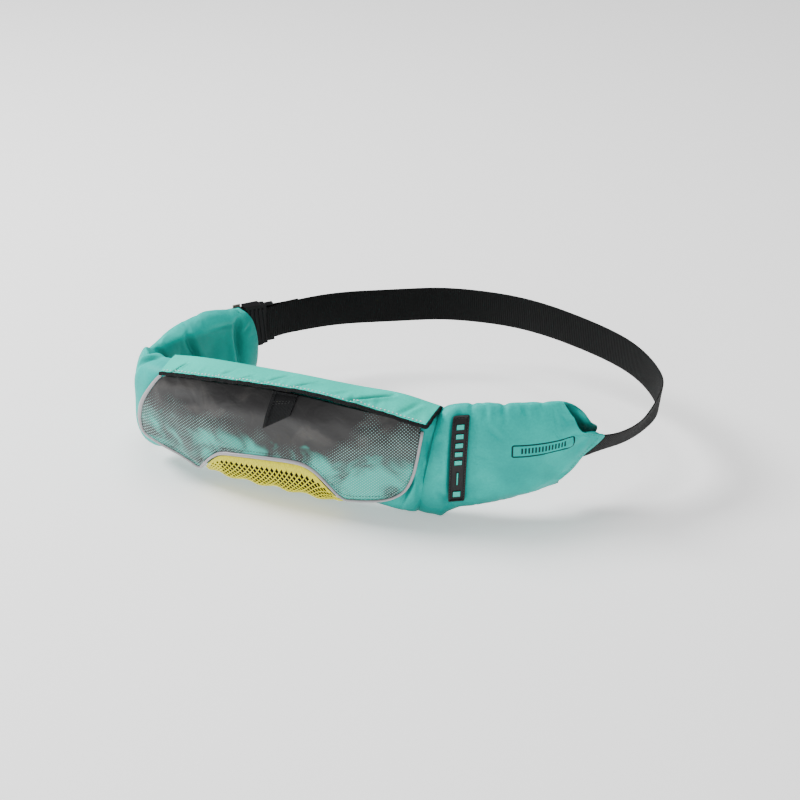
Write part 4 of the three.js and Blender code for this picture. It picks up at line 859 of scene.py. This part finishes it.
def wingPlace(wing, ahead, turn, lift=0.0):
    out, up = sectionSpot(wing["sections"], "ahead", ahead, turn)
    tilt = np.tan(np.radians(readTable(wing["sections"], "ahead", "lean", ahead)))
    swing = np.clip(up, -webbingHalf, webbingHalf) * tilt
    along = wing["from"] + wing["way"] * wingReach(wing, ahead, turn, up)
    front = np.clip(np.sin(turn) * 2, 0, 1)
    back = np.clip(-np.sin(turn) * 2, 0, 1)
    folds = pressFolds(wing["frontFolds"], along, up) * front - pressFolds(wing["backFolds"], along, up) * back
    for edge, dips in ((np.cos(turn), wing["topDips"]), (-np.cos(turn), wing["footDips"])):
        for at, wide, deep in dips:
            up = up - deep * np.exp(-((along - at) / wide) ** 2) * np.clip(edge, 0, 1) ** 4
    if "crest" in wing:
        middle, wide, tall = wing["crest"]
        near = np.clip(np.cos(turn), 0, 1) * ease(0.03, 0.08, ahead) * ease(0.21, 0.1, ahead)
        up = up + tall * np.exp(-((out - middle) / wide) ** 2) * near
    for level, tall, deep in wing.get("rolls", []):
        rolled = deep * np.exp(-((up - level) / tall) ** 2) * back
        out = out - rolled * ease(0.12, 0.4, ahead) * ease(1.05, 0.85, ahead)
    return along, out + swing - folds + lift * np.sin(turn), up


sleeve = {
    "rounds": 100, "columns": 86, "hemPitch": 26, "hemHeld": 5, "hemHigh": 1.2, "pressure": 4.0, "shrink": -0.015,
    "held": 6, "labelled": (152, 157, 184, 179, -2, 2), "still": 0.9,
}


def buildWing(name, wing, material):
    def place(across, ahead):
        along, out, up = wingPlace(wing, ahead, evenTurn(across))
        return spot(along, out, up)

    def flat(across, ahead):
        along, out, up = wingPlace(wing, ahead, evenTurn(across))
        return along, np.where(np.sin(evenTurn(across)) >= 0, up, up + pouch["innerShift"])

    bm = clothGrid(sleeve["rounds"], sleeve["columns"], place, flat, wrapped=True)
    faceOutwards(bm, beltMiddle)
    piece = meshObject(name, bm, material)
    points = np.array([v.co[:] for v in piece.data.vertices]) / mm
    along = nearestAlong(points)
    reach = (along - wing["from"]) * wing["way"]
    pins = np.zeros(len(points), bool)
    pins[boundaryIndices(piece)] = True
    tops = readTable(wing["sections"], "ahead", "top", reach / wing["length"]) * height
    bottoms = readTable(wing["sections"], "ahead", "bottom", reach / wing["length"]) * height
    atHem = (points[:, 2] > tops - sleeve["hemHigh"]) | (points[:, 2] < bottoms + sleeve["hemHigh"])
    pins |= atHem & (np.mod(reach, sleeve["hemPitch"]) < sleeve["hemHeld"])
    labelled = np.zeros(len(points))
    if wing is rightWing:
        labelled = between(sleeve["labelled"], along, along, outOf(points, along))
    share = ease(0, sleeve["held"], reach) * (1 - labelled)
    puff(piece, share, pins | (labelled > sleeve["still"]), sleeve["pressure"], wing["swell"], sleeve["shrink"])
    subdivide(piece)
    thicken(piece, pouch["cloth"])
    return piece


def boundaryIndices(piece):
    bm = bmesh.new()
    bm.from_mesh(piece.data)
    found = sorted({v.index for e in bm.edges if e.is_boundary for v in e.verts})
    bm.free()
    return found


pouchBody = buildPouch()
wingRight = buildWing("rightSleeve", rightWing, materials["wing"])
wingLeft = buildWing("leftSleeve", leftWing, materials["body"])
for piece, node in ((pouchBody, "pouch_body"), (wingRight, "wing_right"), (wingLeft, "wing_left")):
    enter(piece, node)
print("padded pouch and sleeves made")

# Pocket panel on the front of the pouch, its net and the lining behind it

panel = {
    "thick": 2.2, "puff": 5, "ease": 6, "seat": 1, "columns": 170, "rows": 60,
    "netFrom": -0.29, "netTo": 0.211,
    "edges": {
        "along": [-0.507, -0.497, -0.47, -0.431, -0.372, -0.335, -0.315, -0.292, -0.258, -0.215, -0.15, -0.035, 0.079,
                  0.12, 0.15, 0.185, 0.218, 0.25, 0.295, 0.34, 0.385, 0.42, 0.443, 0.455, 0.464],
        "top": [-0.19, -0.03, 0.16, 0.33, 0.375, 0.395, 0.4, 0.407, 0.415, 0.428, 0.445, 0.46, 0.462, 0.46, 0.456, 0.45,
                0.442, 0.432, 0.415, 0.397, 0.375, 0.36, 0.35, 0.345, 0.34],
        "bottom": [-0.29, -0.32, -0.35, -0.385, -0.44, -0.49, -0.52, -0.45, -0.34, -0.25, -0.21, -0.175, -0.16, -0.19,
                   -0.25, -0.365, -0.48, -0.485, -0.47, -0.445, -0.39, -0.295, -0.125, 0.08, 0.26],
    },
    "folds": [
        (-118, 18, -84, 26, 6, 1.3, 1),
        (-88, 6, -40, 18, 7, 1.5, -1),
        (10, 20, 44, 0, 7, 1.2, 1),
        (56, 24, 96, 4, 8, 1.4, 1),
        (96, -30, 124, -8, 6, 1.0, 1),
        (-128, -22, -100, -34, 5, 0.8, 1),
    ],
}
panelFrom, panelTo = panel["edges"]["along"][0], panel["edges"]["along"][-1]


def panelEdge(side, along):
    return readTable(panel["edges"], "along", side, along) * height


def netShare(along):
    share = np.clip((along - panel["netFrom"]) / (panel["netTo"] - panel["netFrom"]), 0, 1)
    return np.sqrt(np.abs(np.sin(math.pi * share)))


def standOff(along, down):
    ends = np.maximum(1 - np.abs(along / panelTo) ** 4, 0)
    return panel["puff"] * ends * ease(0, 0.4, down) * (1 - (1 - netShare(along)) * down ** 3)


def panelFront(along, up):
    sections = pouch["sections"]
    top = readTable(sections, "along", "top", along) * height + panel["ease"]
    bottom = readTable(sections, "along", "bottom", along) * height - panel["ease"]
    back = readTable(sections, "along", "back", along) * depth
    front = readTable(sections, "along", "front", along) * depth
    square = readTable(sections, "along", "square", along)
    level = np.clip((2 * up - top - bottom) / (top - bottom), -1, 1)
    return (front + back) / 2 + (front - back) / 2 * (1 - np.abs(level) ** (2 / square)) ** (square / 2)


def panelPlace(along, down, lift):
    top, bottom = panelEdge("top", along), panelEdge("bottom", along)
    up = top + (bottom - top) * down
    inside = ease(0, 0.12, down) * ease(1, 0.85, down)
    folds = pressFolds(panel["folds"], along * pouchLong, up) * inside
    return along * pouchLong, panelFront(along, up) + panel["seat"] + lift + standOff(along, down) - folds * 0.7, up


def buildPanel():
    def place(across, down):
        along = panelFrom + (panelTo - panelFrom) * across
        return spot(*panelPlace(along, down, panel["thick"]))

    def flat(across, down):
        along, out, up = panelPlace(panelFrom + (panelTo - panelFrom) * across, down, 0)
        return along, up

    bm = clothGrid(panel["columns"], panel["rows"], place, flat)
    faceOutwards(bm, beltMiddle)
    piece = meshObject("frontPanel", bm, materials["panel"])
    thicken(piece, panel["thick"])
    enter(piece, "front_panel")


buildPanel()

net = {"thick": 0.7, "long": 27, "deep": 8, "strand": 0.1, "closedStrand": 0.19, "openRows": (0.9, 4.1),
       "openFrom": 0.15, "openTo": 0.95, "cell": (5.4, 5.0), "wave": 1.6, "waves": 58, "round": 0.475, "least": 0.03,
       "lift": 3.0,
       "liningLift": 1.1, "liningThick": 1.0, "liningInset": 0.06, "liningDrop": 0.8}
piping = {"wide": 2.9, "archWide": 4.0, "archGap": 0.6, "proud": 2.0, "sides": 12, "steps": 420, "sideSteps": 0.12,
          "leftTop": -0.431, "smooth": 6, "lap": 0.3}


def archUp(along):
    step = 1 / pouchLong
    slope = (panelEdge("bottom", along + step) - panelEdge("bottom", along - step)) / 2
    return panelEdge("bottom", along) - (piping["archWide"] + piping["archGap"]) * np.hypot(1, slope)


def netPlace(across, deep, lift):
    along = panel["netFrom"] + (panel["netTo"] - panel["netFrom"]) * across
    start = np.minimum(roundAt(pouch["sections"], "along", along, archUp(along)), net["round"] - net["least"])
    turnShare = start + (net["round"] - start) * deep
    out, up = sectionSpot(pouch["sections"], "along", along, turnShare * 2 * math.pi)
    off = lift + standOff(along, 1.0) * (1 - deep * deep)
    wave = net["wave"] * np.sin(along * net["waves"]) * np.sin(math.pi * np.clip(deep, 0, 1))
    off = off + wave * ease(0.3, 0.7, deep)
    turn = math.pi / 2 + (turnShare * 2 * math.pi - math.pi / 2) * deep
    return spot(along * pouchLong, out + off * np.sin(turn), up + off * np.cos(turn))


# Net: a grid whose squares are poked and merged into diamonds, each with a hole inset in it
def buildNet():
    bm = bmesh.new()
    bmesh.ops.create_grid(bm, x_segments=net["long"], y_segments=net["deep"], size=0.5)
    straight = list(bm.edges)
    bmesh.ops.poke(bm, faces=bm.faces)
    bmesh.ops.dissolve_edges(bm, edges=[e for e in straight if not e.is_boundary], use_verts=False)
    bmesh.ops.subdivide_edges(bm, edges=bm.edges, cuts=1, use_grid_fill=False)
    for vert in bm.verts:
        vert.co.x *= net["long"]
        vert.co.y *= net["deep"]
    diamonds = [f for f in bm.faces if len(f.verts) == 8 and not any(v.is_boundary for v in f.verts)]
    opened = []
    for face in diamonds:
        middle = face.calc_center_median()
        row, share = net["deep"] / 2 - middle.y, middle.x / net["long"] + 0.5
        if net["openRows"][0] < row < net["openRows"][1] and net["openFrom"] < share < net["openTo"]:
            opened.append(face)
    closed = [f for f in diamonds if f not in opened]
    bmesh.ops.inset_individual(bm, faces=opened, thickness=net["strand"])
    bmesh.ops.inset_individual(bm, faces=closed, thickness=net["closedStrand"])
    bmesh.ops.delete(bm, geom=diamonds, context="FACES")
    layer = bm.loops.layers.uv.new("cloth")
    for face in bm.faces:
        for loop in face.loops:
            loop[layer].uv = (loop.vert.co.x * net["cell"][0] * mm, loop.vert.co.y * net["cell"][1] * mm)
    shares = np.array([(v.co.x / net["long"] + 0.5, v.co.y / net["deep"] + 0.5) for v in bm.verts])
    for vert, point in zip(bm.verts, netPlace(shares[:, 0], 1 - shares[:, 1], net["lift"] + net["thick"]) * mm):
        vert.co = point
    faceOutwards(bm, beltMiddle)
    piece = meshObject("netGusset", bm, materials["net"])
    thicken(piece, net["thick"] * 0.8)
    roundEdges(piece, 0.25, segments=1)
    enter(piece, "net_gusset")


def buildLining():
    def place(across, down):
        inset = net["liningInset"]
        return netPlace(inset + across * (1 - 2 * inset), down * net["liningDrop"],
                        net["liningLift"] + net["liningThick"])

    bm = clothGrid(80, 24, place, lambda a, d: (a * 130, d * 35))
    faceOutwards(bm, beltMiddle)
    piece = meshObject("pocketLining", bm, materials["lining"])
    thicken(piece, net["liningThick"])
    enter(piece, "pocket_lining")


def pipingLine(count):
    side = np.linspace(0, 1, int(count * piping["sideSteps"]), endpoint=False)
    sideAlong = panelFrom + (piping["leftTop"] - panelFrom) * (1 - side) ** 2
    under = np.linspace(panelFrom, panelTo, count - len(side))
    along = np.concatenate([sideAlong, under])
    down = np.concatenate([np.zeros(len(side)), np.ones(len(under))])
    up = np.where(down == 0, panelEdge("top", along), panelEdge("bottom", along))
    out = panelFront(along, up) + panel["seat"] + piping["proud"] + standOff(along, down)
    return along * pouchLong, out, up


def smoothLine(values, passes):
    for _ in range(passes):
        values = np.concatenate([values[:1], (values[:-2] + 2 * values[1:-1] + values[2:]) / 4, values[-1:]])
    return values


def buildPiping():
    steps = piping["steps"]
    along, out, up = (smoothLine(v, piping["smooth"]) for v in pipingLine(steps + 1))
    gone = np.gradient(along), np.gradient(up)
    length = np.hypot(*gone)
    sideAlong, sideUp = -gone[1] / length, gone[0] / length
    arch = ease(0.3, 0.8, netShare(along / pouchLong))
    half = (piping["wide"] + (piping["archWide"] - piping["wide"]) * arch) / 2

    def place(ahead, turnShare):
        i = np.clip(np.round(ahead * steps).astype(int), 0, steps)
        turn = turnShare * 2 * math.pi
        across = half[i] * (np.cos(turn) - 1) - piping["lap"]
        return spot(along[i] + sideAlong[i] * across, out[i] + half[i] * np.sin(turn), up[i] + sideUp[i] * across)

    bm = sweptBar(steps, piping["sides"], place, lambda a, t: (a * 480, t * 10))
    piece = meshObject("panelPiping", bm, materials["piping"])
    enter(piece, "panel_piping")


buildNet()
buildLining()
buildPiping()
print("panel, net, lining and piping made")

# Top flap with its binding and pull tab

flap = {
    "reach": 39, "thick": 2.2, "crown": 1.2, "back": -0.1, "roll": 0.13, "turnDown": 5, "columns": 230, "rows": 34,
    "leftBack": -0.455, "leftFront": -0.43, "rightBack": 0.515, "rightFront": 0.484,
    "heights": {
        "along": [-0.455, -0.338, -0.2, 0, 0.12, 0.25, 0.38, 0.515],
        "rear": [0.396, 0.446, 0.47, 0.48, 0.48, 0.475, 0.463, 0.38],
        "brow": [0.387, 0.44, 0.485, 0.52, 0.53, 0.5, 0.43, 0.352],
    },
    # along the belt and out from it, both in millimetres
    "folds": [
        (-111, 38, -106, 20, 1.7, 4.0, 1),
        (-66, 36, -52, 20, 2.2, 2.2, 1),
        (-44, 38, -30, 24, 1.8, 2.4, 1),
        (-18, 37, 2, 12, 2.4, 2.8, 1),
        (12, 38, 34, 16, 2.2, 3.0, 1),
        (66, 38, 104, 10, 2.8, 6.0, 1),
        (52, 34, 66, 22, 2.0, 1.4, -1),
        (116, 34, 130, 12, 2.6, 2.0, 1),
    ],
    "bindingWide": 3.7, "bindingThick": 2.6, "bindingRise": 0.4, "endGap": 0.1,
}


def flapPlace(across, ahead, lift=0.0):
    left = flap["leftBack"] + (flap["leftFront"] - flap["leftBack"]) * ahead
    right = flap["rightBack"] + (flap["rightFront"] - flap["rightBack"]) * ahead
    along = left + (right - left) * across
    share = flap["back"] + (1 - flap["back"]) * ahead
    rear = readTable(flap["heights"], "along", "rear", along) * height
    brow = readTable(flap["heights"], "along", "brow", along) * height
    up = rear + (brow - rear) * np.maximum(share, 0) + flap["crown"] * np.sin(math.pi * ahead)
    up = up - flap["turnDown"] * ease(flap["roll"], flap["back"], share)
    out = share * flap["reach"]
    inside = ease(0, 0.1, ahead) * ease(1, 0.93, ahead)
    up = up - pressFolds(flap["folds"], along * pouchLong, out) * inside
    gather = np.sin(along * pouchLong * 2 * math.pi / 13 + 3 * np.sin(along * 23)) * np.sin(along * 41 + 1)
    up = up + 0.45 * gather * ease(0.5, 0.85, ahead) * ease(1, 0.96, ahead)
    return along * pouchLong, out, up + lift


def buildFlap():
    def flat(across, ahead):
        along, out, up = flapPlace(across, ahead)
        return along, out + 60

    bm = clothGrid(flap["columns"], flap["rows"], lambda a, b: spot(*flapPlace(a, b)), flat)
    faceOutwards(bm, lambda p: Vector((p.x, p.y, p.z - 0.05)))
    piece = meshObject("topFlap", bm, materials["flap"])
    thicken(piece, flap["thick"])
    roundEdges(piece, 0.7)
    enter(piece, "top_flap")


def bindingLine():
    half = flap["bindingThick"] / 2
    along = np.linspace(flap["leftFront"], flap["rightFront"], 260)
    out = np.full(len(along), flap["reach"] + 0.3 + half)
    up = readTable(flap["heights"], "along", "brow", along) * height
    ends = flapPlace(np.ones(44), np.linspace(1, 0.24, 44))
    endAlong = ends[0] + flap["endGap"] + half
    along = np.concatenate([along * pouchLong, endAlong])
    out = np.concatenate([out, [out[-1]], ends[1][1:]])
    up = np.concatenate([up, ends[2]]) + flap["bindingRise"] - flap["bindingWide"] / 2
    return np.stack([smoothLine(v, 5) for v in (along, out, up)], axis=1)


# Tape folded over the flap's edge: a flat oval bar, a little wavy where it is sewn
def buildBinding():
    line = bindingLine()
    places = spot(line[:, 0], line[:, 1], line[:, 2])
    run = np.gradient(places, axis=0)
    run[:, 2] = 0
    run /= np.linalg.norm(run, axis=1)[:, None]
    side = np.stack([run[:, 1], -run[:, 0], np.zeros(len(run))], axis=1)
    last = len(line) - 1

    def place(ahead, turnShare):
        i = np.clip(np.round(ahead * last).astype(int), 0, last)
        turn = turnShare * 2 * math.pi
        thick = flap["bindingThick"] / 2 * signedPower(np.sin(turn), 0.7)
        wide = flap["bindingWide"] / 2 * signedPower(np.cos(turn), 0.7)
        wave = 0.3 * np.sin(i * 0.55) + 0.35 * np.sin(i * 0.23) + 0.3 * np.sin(i * 0.091)
        return places[i] + side[i] * thick[:, None] + np.stack([0 * wide, 0 * wide, wide + wave], axis=1)

    bm = sweptBar(last, 16, place, lambda a, t: (a * 320, t * 16))
    piece = meshObject("flapBinding", bm, materials["binding"])
    enter(piece, "flap_binding")


tab = {"topFrom": -0.012, "topTo": 0.076, "topUp": 0.475, "footFrom": -0.044, "footTo": 0.055,
       "footUpFrom": 0.12, "footUpTo": 0.285, "thick": 1.8, "tuck": 0.4, "hem": 0.7, "hemFrom": 0.16, "hemTo": 0.12}


def tabPlace(across, down, lift):
    along = (tab["topFrom"] + (tab["topTo"] - tab["topFrom"]) * across) * (1 - down)
    along = along + (tab["footFrom"] + (tab["footTo"] - tab["footFrom"]) * across) * down
    footUp = tab["footUpFrom"] + (tab["footUpTo"] - tab["footUpFrom"]) * across
    up = (tab["topUp"] + (footUp - tab["topUp"]) * down) * height
    hang = flap["reach"] * (1 - down * tab["tuck"])
    top, bottom = panelEdge("top", along), panelEdge("bottom", along)
    onPanel = (panelFront(along, up) + panel["seat"] + panel["thick"]
               + standOff(along, np.clip((top - up) / (top - bottom), 0, 1)))
    hem = tab["hem"] * ease(tab["hemFrom"], tab["hemTo"], across)
    return along * pouchLong, np.maximum(onPanel + 0.3, hang) + lift * (1 + 0 * across) + hem, up


def buildTab():
    bm = clothGrid(40, 52, lambda a, d: spot(*tabPlace(a, d, tab["thick"])), lambda a, d: (a * 26, d * 40))
    faceOutwards(bm, beltMiddle)
    piece = meshObject("pullTab", bm, materials["binding"])
    thicken(piece, tab["thick"])
    roundEdges(piece, 0.5)
    enter(piece, "pull_tab")


buildFlap()
buildBinding()
buildTab()
print("flap, binding and pull tab made")

# Moulded label on the right sleeve

label = {"along": 0.582, "up": 0.365, "slant": -0.03, "long": 93, "wide": 14.6, "thick": 2.6, "seat": 0.8,
         "border": 1.8, "base": 0.65, "round": 1.6,
         "marks": {"down": [0.07, 0.17, 0.27, 0.37, 0.47, 0.62, 0.86],
                   "long": [0.062, 0.062, 0.062, 0.062, 0.062, 0.16, 0.08],
                   "wide": [0.5, 0.5, 0.5, 0.5, 0.5, 0.14, 0.52]}}


def wingFront(along, up):
    low, high = np.zeros(np.shape(along)), np.ones(np.shape(along))
    for _ in range(24):
        middle = (low + high) / 2
        turn = roundAt(rightWing["sections"], "ahead", middle, up) * 2 * math.pi
        short = rightWing["from"] + wingReach(rightWing, middle, turn, up) < along
        low, high = np.where(short, middle, low), np.where(short, high, middle)
    turn = roundAt(rightWing["sections"], "ahead", low, up) * 2 * math.pi
    return sectionSpot(rightWing["sections"], "ahead", low, turn)[0]


def labelPlace(across, down, lift):
    up = label["up"] * height - down
    along = label["along"] * pouchLong + across + label["slant"] * down
    return spot(along, wingFront(along, up) + label["seat"] + lift, up)


# The label starts as a flat grid whose faces are raised where its border and marks stand
def buildLabel():
    bm = bmesh.new()
    columns, rows = 44, 250
    bmesh.ops.create_grid(bm, x_segments=columns, y_segments=rows, size=0.5)
    for vert in bm.verts:
        vert.co = ((vert.co.x) * label["wide"], (0.5 - vert.co.y) * label["long"], 0)
    half, edge = label["wide"] / 2, label["border"]

    def onMark(x, y):
        for down, long, wide in zip(*(label["marks"][k] for k in ("down", "long", "wide"))):
            if down <= y / label["long"] <= down + long and abs(x) <= wide * half:
                return True
        return False

    raised, teal = [], []
    for face in bm.faces:
        x, y = face.calc_center_median()[:2]
        if half - abs(x) < edge or y < edge or label["long"] - y < edge:
            raised.append(face)
        elif onMark(x, y):
            teal.append(face)
    for faces in (raised, teal):
        bmesh.ops.inset_region(bm, faces=faces, thickness=0.12, depth=0, use_boundary=False)
        bmesh.ops.inset_region(bm, faces=faces, thickness=0.3, depth=0, use_boundary=False)
        for vert in {v for f in faces for v in f.verts}:
            vert.co.z = 1  # raised: read as a share of the border's height below
    for face in teal:
        face.material_index = 1
    shares = np.array([v.co[:] for v in bm.verts])
    corner = np.hypot(np.maximum(np.abs(shares[:, 0]) - (half - label["round"]), 0),
                      np.maximum(np.abs(shares[:, 1] - label["long"] / 2) - (label["long"] / 2 - label["round"]), 0))
    pull = np.where(corner > label["round"], label["round"] / np.maximum(corner, 1e-6), 1)
    cx = np.sign(shares[:, 0]) * (half - label["round"])
    cy = label["long"] / 2 + np.sign(shares[:, 1] - label["long"] / 2) * (label["long"] / 2 - label["round"])
    shares[:, 0] = np.where(pull < 1, cx + (shares[:, 0] - cx) * pull, shares[:, 0])
    shares[:, 1] = np.where(pull < 1, cy + (shares[:, 1] - cy) * pull, shares[:, 1])
    base = label["thick"] * label["base"]
    lift = base + shares[:, 2] * (label["thick"] - base)
    for vert, point in zip(bm.verts, labelPlace(shares[:, 0], shares[:, 1], lift) * mm):
        vert.co = point
    faceOutwards(bm, beltMiddle)
    rim = [e for e in bm.edges if e.is_boundary]
    down = bmesh.ops.extrude_edge_only(bm, edges=rim)["geom"]
    under = {v for v in down if isinstance(v, bmesh.types.BMVert)}
    for vert in under:
        out = Vector((*heading(label["along"] * pouchLong), 0))
        vert.co -= Vector((out.y, -out.x, 0)) * (label["thick"] + label["seat"] * 0.6) * mm
    piece = meshObject("labelPatch", bm, materials["label"])
    piece.data.materials.append(materials["labelMarks"])
    enter(piece, "label_patch")


buildLabel()
print("label made")

# Buckle: copies of the carried solids with moulded, rounded edges

buckle = {"clear": 12, "out": 5, "yaw": -11.5, "socketLength": 34, "thick": 11, "bar": 5, "plugLength": 30,
          "slot": 8, "plugShare": 0.36, "sharp": 50}
buckleAlong = pouchFrom - leftWing["length"] - buckle["clear"]
buckleAt = spot(buckleAlong, buckle["out"], 0)
buckleTurn = math.atan2(*heading(buckleAlong)[::-1]) + math.radians(buckle["yaw"])


def buildMoulding(name, node, material, round):
    bm = bmesh.new()
    bm.from_mesh(bpy.data.objects[node].data)
    bmesh.ops.remove_doubles(bm, verts=bm.verts, dist=1e-6)
    bmesh.ops.dissolve_limit(bm, angle_limit=math.radians(1), verts=bm.verts, edges=bm.edges)
    sharp = [e for e in bm.edges if e.is_manifold and e.calc_face_angle() > math.radians(buckle["sharp"])]
    bmesh.ops.bevel(bm, geom=sharp, affect="EDGES", offset=round * mm, segments=3, profile=0.5, material=-1,
                    clamp_overlap=True)
    piece = meshObject(name, bm, material, smooth=False)
    enter(piece, node)


buildMoulding("buckleSocket", "buckle_socket", materials["buckle"], 0.6)
buildMoulding("bucklePlug", "buckle_plug", materials["buckle"], 0.5)
buildMoulding("webbingTip", "webbing_tip", materials["tip"], 0.5)
print("buckle made")

# Webbing: from its doubled end at the socket, round the back, through the pack and out to the plug

webbing = {
    "wide": 38, "thick": 1.8, "tail": 20, "exit": 0.72, "lead": 2, "steps": 900, "barGap": 0.3, "lapGap": 0.6,
    # the part between the buckle's ends that is smoothed, and the free part that ripples a little
    "smoothFrom": 60, "smoothTo": 70, "smooth": 10, "freeFrom": (70, 130), "freeTo": (560, 640),
    "waves": ((0.7, 47, 0), (0.5, 19, 1)), "curl": 0.8, "shift": 0.4, "sides": 36,
    "weave": {"ahead": [1.14, 0.67, 0.14, -0.14, -0.38, -0.54, -0.73, -0.98, -1.29, -1.81],
              "out": [-0.43, -0.76, -1, -0.92, -0.4, 0.23, 0.76, 1, 1, 1]},
    "lie": {
        "share": [-0.22, -0.16, -0.13, -0.09, 0.12, 0.17, 0.2, 0.225, 0.238, 0.25, 0.268, 0.287, 0.305, 0.33, 0.37, 0.5,
                  0.6, 0.68, 0.72],
        "rise": [0, -6, -6, 0, 0, -1, -4, -9, -10, -9, -6, -2, 0, 0, 0, 0, -1, -1, 0],
        "lean": [0, 0, 0, 0, 0, 1, 7, 22, 33, 36, 30, 18, 9, 3, 0, 2, 7, 5, 0],
    },
}


def buckleSpot(x, out):
    return np.array([buckleAt[0] + x * math.cos(buckleTurn) + out * math.sin(buckleTurn),
                     buckleAt[1] + x * math.sin(buckleTurn) - out * math.cos(buckleTurn), 0])


def webbingPath():
    under = buckle["bar"] / 2 + webbing["barGap"] + webbing["thick"] / 2
    onTop = buckle["thick"] * buckle["plugShare"] + webbing["barGap"] + webbing["thick"] / 2
    socketBar = -buckle["socketLength"] / 2 + buckle["bar"] / 2
    plugBar = buckle["socketLength"] / 2 + buckle["plugLength"] - buckle["bar"] / 2
    start = buckleAlong - buckle["socketLength"]
    rows = [(spot(start - webbing["tail"] * i / 3, webbing["thick"] + webbing["lapGap"], 0), 0) for i in (3, 2, 1)]
    for i in range(9):
        turn = math.pi * i / 8 - math.pi / 2
        rows.append((buckleSpot(socketBar + under * math.cos(turn), -under * math.sin(turn)), 0))
    end = -loopLength + pouchFrom - leftWing["length"] * webbing["exit"]
    for along in np.linspace(start - webbing["lead"], end, 150):
        share = 1 + along / loopLength
        lie = {k: float(readTable(webbing["lie"], "share", k, share)) for k in ("rise", "lean")}
        rows.append((spot(along, 0, lie["rise"]), lie["lean"]))
    slot = buckle["slot"] + buckle["bar"] / 2
    for ahead, out in zip(webbing["weave"]["ahead"], webbing["weave"]["out"]):
        rows.append((buckleSpot(plugBar + ahead * slot, out * (under if out < 0 else onTop)), 0))
    return np.array([row[0] for row in rows]), np.array([row[1] for row in rows], float)


def buildWebbing():
    points, lean = webbingPath()
    walked = np.concatenate([[0], np.cumsum(np.linalg.norm(np.diff(points, axis=0), axis=1))])
    steps = webbing["steps"]
    even = np.linspace(0, walked[-1], steps + 1)
    line = np.stack([np.interp(even, walked, points[:, k]) for k in range(3)], axis=1)
    lean = np.radians(np.interp(even, walked, lean))
    middle = slice(int(webbing["smoothFrom"] / walked[-1] * steps),
                   int((walked[-1] - webbing["smoothTo"]) / walked[-1] * steps))
    for k in range(3):
        line[middle, k] = smoothLine(line[middle, k], webbing["smooth"])
    ahead = np.gradient(line, axis=0)
    ahead[:, 2] = 0
    ahead /= np.linalg.norm(ahead, axis=1)[:, None]
    side = np.stack([-ahead[:, 1], ahead[:, 0], np.zeros(len(ahead))], axis=1)
    upward = np.array([0, 0, 1.0])
    wide = side * np.sin(lean)[:, None] + upward * np.cos(lean)[:, None]
    thick = side * np.cos(lean)[:, None] - upward * np.sin(lean)[:, None]
    free = ease(*webbing["freeFrom"], even) * ease(*(walked[-1] - to for to in webbing["freeTo"]), even)
    wave = sum(tall * np.sin(even / long + start) * free for tall, long, start in webbing["waves"])

    def place(aheadShare, turnShare):
        i = np.clip(np.round(aheadShare * steps).astype(int), 0, steps)
        turn = turnShare * 2 * math.pi
        across = webbing["wide"] / 2 * signedPower(np.sin(turn), 0.35)
        deep = webbing["thick"] / 2 * signedPower(np.cos(turn), 0.55)
        curl = wave[i] * (across / webbingHalf) ** 2 * webbing["curl"]
        return (line[i] + thick[i] * (deep + curl)[:, None] + wide[i] * across[:, None]
                + upward * (wave[i] * webbing["shift"])[:, None])

    def flat(aheadShare, turnShare):
        return aheadShare * walked[-1], webbingHalf * signedPower(np.sin(turnShare * 2 * math.pi), 0.35)

    bm = sweptBar(steps, webbing["sides"], place, flat)
    piece = meshObject("waistWebbing", bm, materials["webbing"])
    enter(piece, "webbing")
    print("  webbing length", round(walked[-1]), "mm")


buildWebbing()
print("webbing made")

# Stitches

stitches = {
    "pale": {"long": 2.2, "wide": 1.5, "high": 1.1, "pitch": 3.9},
    "plain": {"long": 2.2, "wide": 0.7, "high": 0.5, "pitch": 3.2},
    "count": 400, "lift": 0.1,
}


def buildStitches(name, material, lines, size):
    bm = bmesh.new()
    for line in lines:
        stitchRow(bm, line, size["pitch"], size["long"], size["wide"], size["high"])
    piece = meshObject(name, bm, material)
    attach(piece, "root")


def stitchLines():
    count = stitches["count"]
    full = np.linspace(0, 1, count)
    flapRow = spot(*flapPlace(0.006 + 0.988 * full, np.full(count, 0.945), 0.35))
    ends = panelFrom + (panelTo - panelFrom) * (0.01 + 0.98 * full)
    panelRow = spot(*panelPlace(ends, np.full(count, 0.955), panel["thick"] + stitches["lift"]))
    turns = math.pi * (0.06 + 0.88 * full)
    hems = [spot(*wingPlace(wing, np.full(count, ahead), first + turns, 0.25))
            for wing, ahead in ((rightWing, 0.955), (leftWing, 0.95)) for first in (0, math.pi)]
    half, edge = label["wide"] / 2 - label["border"] / 2, label["border"] / 2
    down = edge + (label["long"] - 2 * edge) * full
    sides = [labelPlace(np.full(count, side * half), down, label["thick"] + stitches["lift"]) for side in (-1, 1)]
    caps = [labelPlace(half * (2 * full - 1), np.full(count, at), label["thick"] + stitches["lift"])
            for at in (edge, label["long"] - edge)]
    tabRows = [spot(*tabPlace(0.12 + 0.76 * full, np.full(count, at), tab["thick"] + stitches["lift"]))
               for at in (0.3, 0.36)]
    return [flapRow], [panelRow], hems, sides + caps, tabRows


sewn = (("flapStitches", "paleThread", "flap_cloth_teal", "pale"),
        ("panelStitches", "darkThread", "printed_cloth_dark", "plain"),
        ("hemStitches", "tealThread", "coated_cloth_teal", "plain"),
        ("labelStitches", "darkThread", "moulded_rubber", "plain"),
        ("tabStitches", "darkThread", "black_tape", "plain"))
for (name, thread, slot, size), rows in zip(sewn, stitchLines()):
    buildStitches(name, materials[thread], rows, stitches[size])
print("stitches made")
